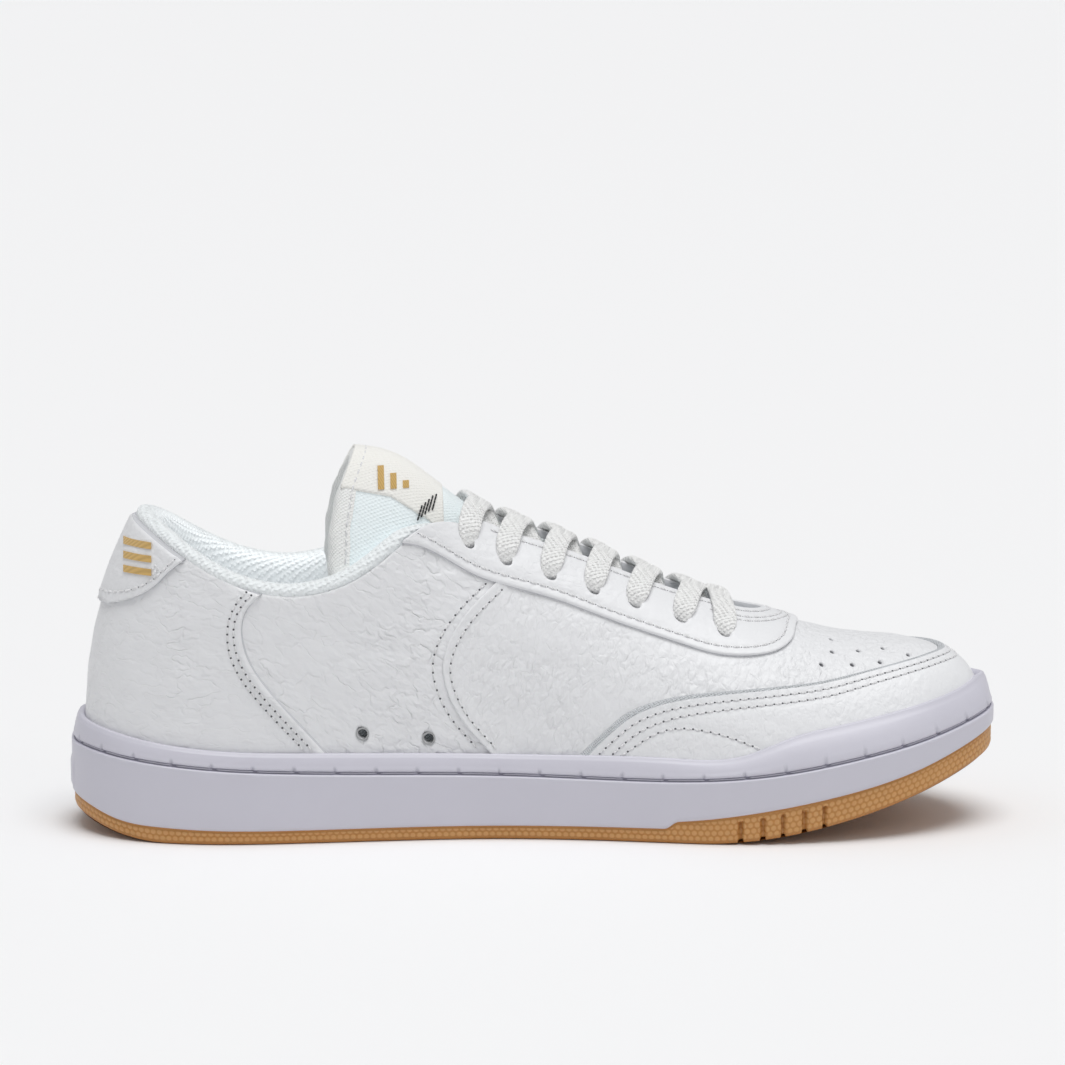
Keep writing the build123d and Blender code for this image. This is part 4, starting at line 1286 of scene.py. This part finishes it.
def chain(name, points, normals, material, body, pitch=3.0, length=2.0, radius=0.32):
    """Short rounded stitches along a line of points."""
    spots = resample(points, pitch)
    here, there = np.linspace(0, 1, len(spots)), np.linspace(0, 1, len(normals))
    ups = np.stack([np.interp(here, there, column) for column in normals.T], -1)
    made, faces = [], []
    for k in range(len(spots) - 1):
        along = unit(spots[k + 1] - spots[k])
        across = unit(np.cross(ups[k], along))
        start = len(made)
        for u, size in CHAIN_SHAPE:
            for angle in circle(SPOKES):
                ring = (across * math.cos(angle) + ups[k] * math.sin(angle)) * radius * size
                made.append((spots[k] + spots[k + 1]) / 2 + along * length * u + ring)
        faces += tube_faces(len(CHAIN_SHAPE), SPOKES, start)
    return piece(name, made, faces, material, body=body)


chain("tongue_tape_stitches", tape_line, direction[-5], "stitch", "tongue")
STROKE_MIDDLES = [(-37.5, 100.5), (-36.3, 101.3), (-35.1, 102.1), (-33.9, 102.9), (-32.7, 103.2)]
for number, (first_x, first_z) in enumerate(STROKE_MIDDLES):
    stroke = []
    for share in np.linspace(0, 1, 6):
        x, z = first_x + 1.6 * share, first_z + 4.4 * share - 2.2
        base, ridge = footbed(x), tongue_ridge(x)
        angle = math.asin(float(np.clip((z - base) / (ridge - base), 0, 1)) ** (float(roundness(x)) / 2))
        stroke.append(tongue_point(x, math.pi - angle, -1.0))
    stroke = np.array(stroke)
    facing = np.tile(np.array([[0.25, -0.85, 0.45]]), (6, 1))
    chain("label_stroke_%d" % number, stroke, facing, "black", "tongue", pitch=1.3, length=1.4, radius=0.3)
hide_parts("tongue_binding")


# ---- laces ----
LACE_HALF = 3.8


def ribbon(name, centreline, normals, half, thick=1.2, material="lace", columns=13):
    """A flat woven lace: lens-shaped section, ribs across it, along a line of points."""
    tangent = unit(np.gradient(centreline, axis=0))
    normals = unit(normals - tangent * np.sum(normals * tangent, 1, keepdims=True))
    across = np.cross(tangent, normals)
    along = np.concatenate([[0], np.cumsum(np.linalg.norm(np.diff(centreline, axis=0), axis=1))])
    angles = circle(4 * columns)
    rows = []
    for k, spot in enumerate(centreline):
        wide = np.sign(np.cos(angles)) * np.abs(np.cos(angles)) ** 0.75
        high = np.sign(np.sin(angles)) * np.abs(np.sin(angles)) ** 0.75
        size = thick + 0.10 * np.sin(along[k] * 2 * math.pi / 1.5 + np.abs(wide) * 7) * (np.abs(wide) < 0.9)
        rows.append(spot + np.outer(wide * half[k], across[k]) + np.outer(high * size, normals[k]))
    made = piece(name, np.vstack(rows), tube_faces(len(centreline), len(angles)), material)
    return made


def lace_strand(name, start, end, heights):
    """A strand between two eyelets, in plan a straight line, at given heights off the last."""
    first, last = on_leather(start[None])[0], on_leather(end[None])[0]
    shares = np.linspace(0, 1, 110)
    plan = first[None, :2] + (last - first)[None, :2] * shares[:, None]
    chart = plan_line(plan)
    knots, levels = np.array(heights).T
    offsets = softened(np.interp(shares, knots, levels), 7, 2)
    points = place_each(chart, offsets)
    normals = softened(outward(chart, LEATHER), 25, 1)
    narrowing = np.minimum(1, 0.8 + 0.2 * ease(np.minimum(shares, 1 - shares) / 0.08))
    return ribbon(name, points, normals, LACE_HALF * narrowing)


def throat_shares(start, end):
    first, last = on_leather(start[None])[0], on_leather(end[None])[0]
    shares = np.linspace(0, 1, 400)
    x = first[0] + (last[0] - first[0]) * shares
    y = first[1] + (last[1] - first[1]) * shares
    open_part = np.abs(y - THROAT_SHIFT) < throat_half(x)
    return shares[open_part][0], shares[open_part][-1]


BAR_LEVELS = [(0, 2.5), (0.03, 5.6), (0.12, 6.5), (0.5, 5.4), (0.88, 6.5), (0.97, 5.6), (1, 2.5)]
strands = [lace_strand("lace_bar", eyelets[-1][0], eyelets[1][0], BAR_LEVELS)]
for k in range(6):
    for side, level in ((-1, 3.4), (1, 5.4)):
        start, end = eyelets[side][k], eyelets[-side][k + 1]
        low_share, high_share = throat_shares(start, end)
        strands.append(lace_strand(
            "lace_%d_%s" % (k + 1, "under" if side < 0 else "over"), start, end,
            [(0, -1.2), (low_share + 0.03, -1.1), (0.5, level), (high_share - 0.03, 6.5),
             ((1 + high_share) / 2, 6.7), (0.965, 6.2), (1, 2.6)],
        ))
for side in (-1, 1):
    tail_chart = side_line([(-21.5, 91.9), (-27, 84), (-32, 70), (-36, 58), (-37.2, 48)], side)
    tail_chart = resample(tail_chart, 0.8, measure=on_leather)
    tail_name = "lace_tail_medial" if side < 0 else "lace_tail_lateral"
    tail_points = place_each(tail_chart, np.full(len(tail_chart), -1.4))
    tail_half = np.full(len(tail_chart), 3.2)
    strands.append(ribbon(tail_name, tail_points, outward(tail_chart, LEATHER), tail_half))
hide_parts("lace")


# ---- sole ----
OUTLINE_STEP = 0.42
DASH_PITCH = 13.0


def outline_samples(step=OUTLINE_STEP):
    turns = np.linspace(-QUARTER_TURN, QUARTER_TURN, 6001)
    # crowd the samples at heel and toe, where the outline turns quickly
    turns = QUARTER_TURN * np.sign(turns) * (1 - (1 - np.abs(turns) / QUARTER_TURN) ** 3)
    x = HALF * np.sin(turns)
    lateral = np.stack([x, centre(x) + half_width(x, 0)], -1)
    medial = np.stack([x, centre(x) - half_width(x, 0)], -1)[::-1]
    return resample(np.vstack([lateral, medial[1:-1]]), step, closed=True)


outline = outline_samples()
outline_count = len(outline)
outline_tangent = unit(np.roll(outline, -1, 0) - np.roll(outline, 1, 0))
outline_normal = np.stack([-outline_tangent[:, 1], outline_tangent[:, 0]], -1)
outline_along = np.arange(outline_count) * OUTLINE_STEP


def swept(name, profile, material, wrap=False, line=None, line_columns=()):
    """A surface round the sole: profile(k) gives rows of (inset, height) at sample k.

    The line columns of each section take the line material.
    """
    sections = [profile(k) for k in range(outline_count)]
    columns = len(sections[0])
    faces = grid_faces(outline_count, columns, wrap_rows=True, wrap_columns=wrap)
    faces.sort(key=lambda face: face[0] % columns in line_columns)
    marked = sum(face[0] % columns in line_columns for face in faces)
    rows = []
    for k, section in enumerate(sections):
        spot = outline[k] - outline_normal[k] * section[:, :1]
        rows.append(np.column_stack([spot, section[:, 1]]))
    return piece(name, np.vstack(rows), faces, material, edge=line, edge_faces=marked)


if np.dot(outline_normal[outline_count // 4], outline[outline_count // 4]) < 0:
    outline_normal = -outline_normal
back_gum = smooth([
    (-148.5, 11.6), (-141, 8.7), (-133, 6.3), (-122, 5.2), (-110, 4.7), (-60, 4.3), (0, 4.4), (60, 4.8),
])
front_gum = smooth([(30, 6.3), (44, 7.1), (61, 9.2), (76, 11.6), (103, 16.8), (118, 20.8), (148.5, 32)])
stepped = ease((outline[:, 0] - 38.5) / 4.5)
gum_tops = back_gum(outline[:, 0]) * (1 - stepped) + front_gum(outline[:, 0]) * stepped
groove_mid, rand_tops = groove_height(outline[:, 0]), rand_height(outline[:, 0])
tread_low = ground(outline[:, 0])
plate = ease((-outline[:, 0] - 138) / 4) * ease((12 - np.abs(outline[:, 1] + 2)) / 2)


def upper_contour():
    """Plan view points of the leather at the height of the cup's rim."""
    turns = np.linspace(-1.55, 1.555, 1500)
    girths = np.linspace(0.02, 0.98, 220)
    found = []
    for turn_now in turns:
        line = np.stack([np.full(220, turn_now), girths], -1)
        points = on_leather(line)
        low = points[:, 2] < rand_height(points[:, 0]) - 0.6
        if low.any() and not low.all():
            spot = points[int(np.argmax(low))]
            found += [(spot[0], spot[1]), (spot[0], 2 * float(centre(spot[0])) - spot[1])]
        elif low.all():
            spot = points[0]
            found.append((spot[0], spot[1]))
    return [Vector((x, y, 0)) for x, y in found]


contour_tree = tree_of(upper_contour())
to_upper = distances(contour_tree, np.column_stack([outline, np.zeros(outline_count)]))
for _ in range(40):
    to_upper = (np.roll(to_upper, 1) + 2 * to_upper + np.roll(to_upper, -1)) / 4


RIM_ROUNDING = [
    (-0.12, 0.75), (0.0, 0.38), (0.3, 0.12), (0.75, 0.0), (1.25, 0.06), (1.7, 0.35), (2.1, 0.9),
    (2.5, 2.0), (2.9, 6.0),
]
# columns of the groove, which take painted shade
GROOVE_SHADE_COLUMNS = (18, 19, 20, 21)


def cup_profile(k):
    low, mid, high = gum_tops[k], groove_mid[k], rand_tops[k]
    wall = np.linspace(low + 1.6, mid - 1.3, 12)
    bulge = 0.45 * plate[k] * ease((wall - 13.5) / 1.2) * ease((22.5 - wall) / 1.2)
    rows = [(2.9, low + 0.05), (1.0, low + 0.05), (0.45, low + 0.25), (0.12, low + 0.75)]
    rows += [(-b, z) for b, z in zip(bulge, wall)]
    tick = 1.0 if outline_along[k] % DASH_PITCH < 0.8 else 0.0
    rows += [(0.0, mid - 0.95), (0.12, mid - 0.65), (0.7, mid - 0.5), (1.5, mid - 0.35), (1.7, mid)]
    rows += [(1.5, mid + 0.35), (0.9 + 0.6 * tick, mid + 0.5), (0.62 + 0.8 * tick, mid + 0.8)]
    rows += [(0.6 + 0.5 * tick, mid + 1.3)]
    rim = max(0.9, to_upper[k] - 2.1)
    rise = high - mid
    for share in (0.3, 0.42, 0.54, 0.66, 0.76, 0.84):
        rows.append((0.6 + (rim - 0.6) * (0.35 * share + 0.65 * share**2.4), mid + rise * share))
    rows += [(rim - 0.05 + depth, high - drop) for depth, drop in RIM_ROUNDING]
    return np.array(rows)


# the groove's faces take a darker material: painted shade
cup = swept("cupsole_wall", cup_profile, "cup", line="groove_shade", line_columns=GROOVE_SHADE_COLUMNS)
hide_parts("cupsole")


def hexagons(along, height, pitch=2.1):
    """1 at the middle of staggered dots, falling to 0 between them."""
    row = height / (pitch * 0.866)
    lower = np.floor(row)
    best = np.full(np.shape(height), 9.0)
    for r in (lower, lower + 1):
        shift = (r % 2) * 0.5
        near = np.abs((along / pitch + shift) % 1 - 0.5) * pitch
        best = np.minimum(best, np.hypot(near, (row - r) * pitch * 0.866))
    return np.clip(1 - best / (pitch * 0.5), 0, 1)


# painted highlight: how much each gum vertex's raised dot is lightened
gum_dot_highlight = []


def gum_profile(k):
    low, high = tread_low[k], gum_tops[k]
    z = np.linspace(low + 0.9, high + 0.3, 26)
    dots = ease(hexagons(outline_along[k], z - low) * 1.8)
    dots *= ease((z - low - 1.0) / 0.5) * ease((high - 0.5 - z) / 0.4)
    depth = 0.95 - 0.20 * dots
    gum_dot_highlight.append(np.concatenate([np.zeros(4), dots, np.zeros(1)]))
    slot = max(float(ease((0.85 - abs(outline[k, 0] - x)) / 0.3)) for x in SLOT_POSITIONS)
    depth = depth + 1.9 * slot * ease((high - 1.6 - z) / 0.5)
    rows = list(zip(depth, z))
    bottom = [(3.4, low + 1.1), (2.3, low + 0.05), (1.5, low + 0.15), (1.1, low + 0.45)]
    lower = [(inset + 2.2 * slot, height + 0.9 * slot) for inset, height in bottom]
    rows = lower + rows + [(2.0, high + 0.35)]
    return np.array(rows)


gum_side = swept("gum_side", gum_profile, "gum")
mark(gum_side, "dots", np.concatenate(gum_dot_highlight))
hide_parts("outsole")

tread_turns = np.linspace(-1.55, 1.55, 420)
tread_shares = np.linspace(-1, 1, 121)
rows = []
for turn_now in tread_turns:
    x = (HALF - 2.4) * math.sin(turn_now)
    y = float(centre(x)) + tread_shares * float(half_width(x, 2.4))
    zigzag = np.abs((y / 17) % 1 - 0.5) * 17
    ridge_wave = ((x + zigzag) / 5.2) % 1
    tread = ease(np.clip((np.abs(ridge_wave - 0.5) - 0.14) / 0.08, 0, 1))
    z = ground(x) + 1.5 * (1 - tread) * (np.abs(tread_shares) < 0.93)
    rows.append(np.stack([np.full(len(y), x), y, z], -1))
tread_faces = [face[::-1] for face in grid_faces(len(tread_turns), len(tread_shares))]
tread_piece = piece("gum_tread", np.vstack(rows), tread_faces, "gum")

# moulded dashes in the groove
points, faces = [], []
DASH_LENGTH = 12.3
for number in range(int(outline_along[-1] / DASH_PITCH)):
    past_start = outline_along > number * DASH_PITCH
    before_end = outline_along < number * DASH_PITCH + DASH_LENGTH
    inside_dash = np.where(past_start & before_end)[0][::2]
    start = len(points)
    for n, k in enumerate(inside_dash):
        size = 0.28 * min(1, 0.4 + 0.6 * min(n, len(inside_dash) - 1 - n))
        for angle in circle(SPOKES):
            spot = outline[k] - outline_normal[k] * (1.35 - size * math.cos(angle))
            points.append((spot[0], spot[1], groove_mid[k] + size * math.sin(angle)))
    faces += tube_faces(len(inside_dash), SPOKES, start)
sole_stitches = piece("sole_dashes", points, faces, "cup")
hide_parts("sole_thread")

# ---- the frame's own nodes that stay in sight ----
CAD_FINISH = {
    "midsole_wedge": "foam", "lasting_board": "board", "vamp_lining": "lining",
    "heel_counter": "board", "toe_puff": "board", "vent_rings": "vent_ring",
    "vent_mesh": "vent_mesh", "tongue_motif": "gold", "heel_motif": "gold", "lace_tips": "tip",
}
for name, finish_name in CAD_FINISH.items():
    cad_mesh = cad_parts[name].data
    cad_mesh.materials.clear()
    cad_mesh.materials.append(materials[finish_name])


# ---- floor, light and camera ----
floor_mesh = bpy.data.meshes.new("floor")
floor_mesh.from_pydata([(-12, -6, 0), (12, -6, 0), (12, 60, 0), (-12, 60, 0)], [], [(0, 1, 2, 3)])
floor_mesh.materials.append(new_material("pale_floor", (0.895, 0.895, 0.90), 0.7))
floor = bpy.data.objects.new("floor", floor_mesh)
bpy.context.scene.collection.objects.link(floor)

world = bpy.data.worlds.new("studio")
world.use_nodes = True
world.node_tree.nodes["Background"].inputs["Color"].default_value = (0.985, 0.99, 1.0, 1)
world.node_tree.nodes["Background"].inputs["Strength"].default_value = 0.415
bpy.context.scene.world = world


def soft_sun(name, tilt, facing, strength, spread):
    """A broad light far away, tilted from straight overhead towards a compass angle."""
    data = bpy.data.lights.new(name, "SUN")
    data.energy = strength
    data.angle = math.radians(spread)
    lamp = bpy.data.objects.new(name, data)
    lamp.rotation_euler = (math.radians(tilt), 0, math.radians(facing))
    bpy.context.scene.collection.objects.link(lamp)


soft_sun("overhead", 10, 25, 1.98, 40)
soft_sun("key", 50, 35, 0.08, 30)

camera_data = bpy.data.cameras.new("camera")
camera_data.lens = 157.6
camera = bpy.data.objects.new("camera", camera_data)
turn, height, reach = math.radians(-3.7), math.radians(9), 1.5
aim = Vector((0, -0.002, 0.0926))
level = math.cos(height)
offset = Vector((math.sin(turn) * level, -math.cos(turn) * level, math.sin(height))) * reach
camera.location = aim + offset
camera.rotation_euler = (-offset).to_track_quat("-Z", "Y").to_euler()
bpy.context.scene.collection.objects.link(camera)
bpy.context.scene.camera = camera
bpy.context.scene.view_settings.view_transform = "Standard"
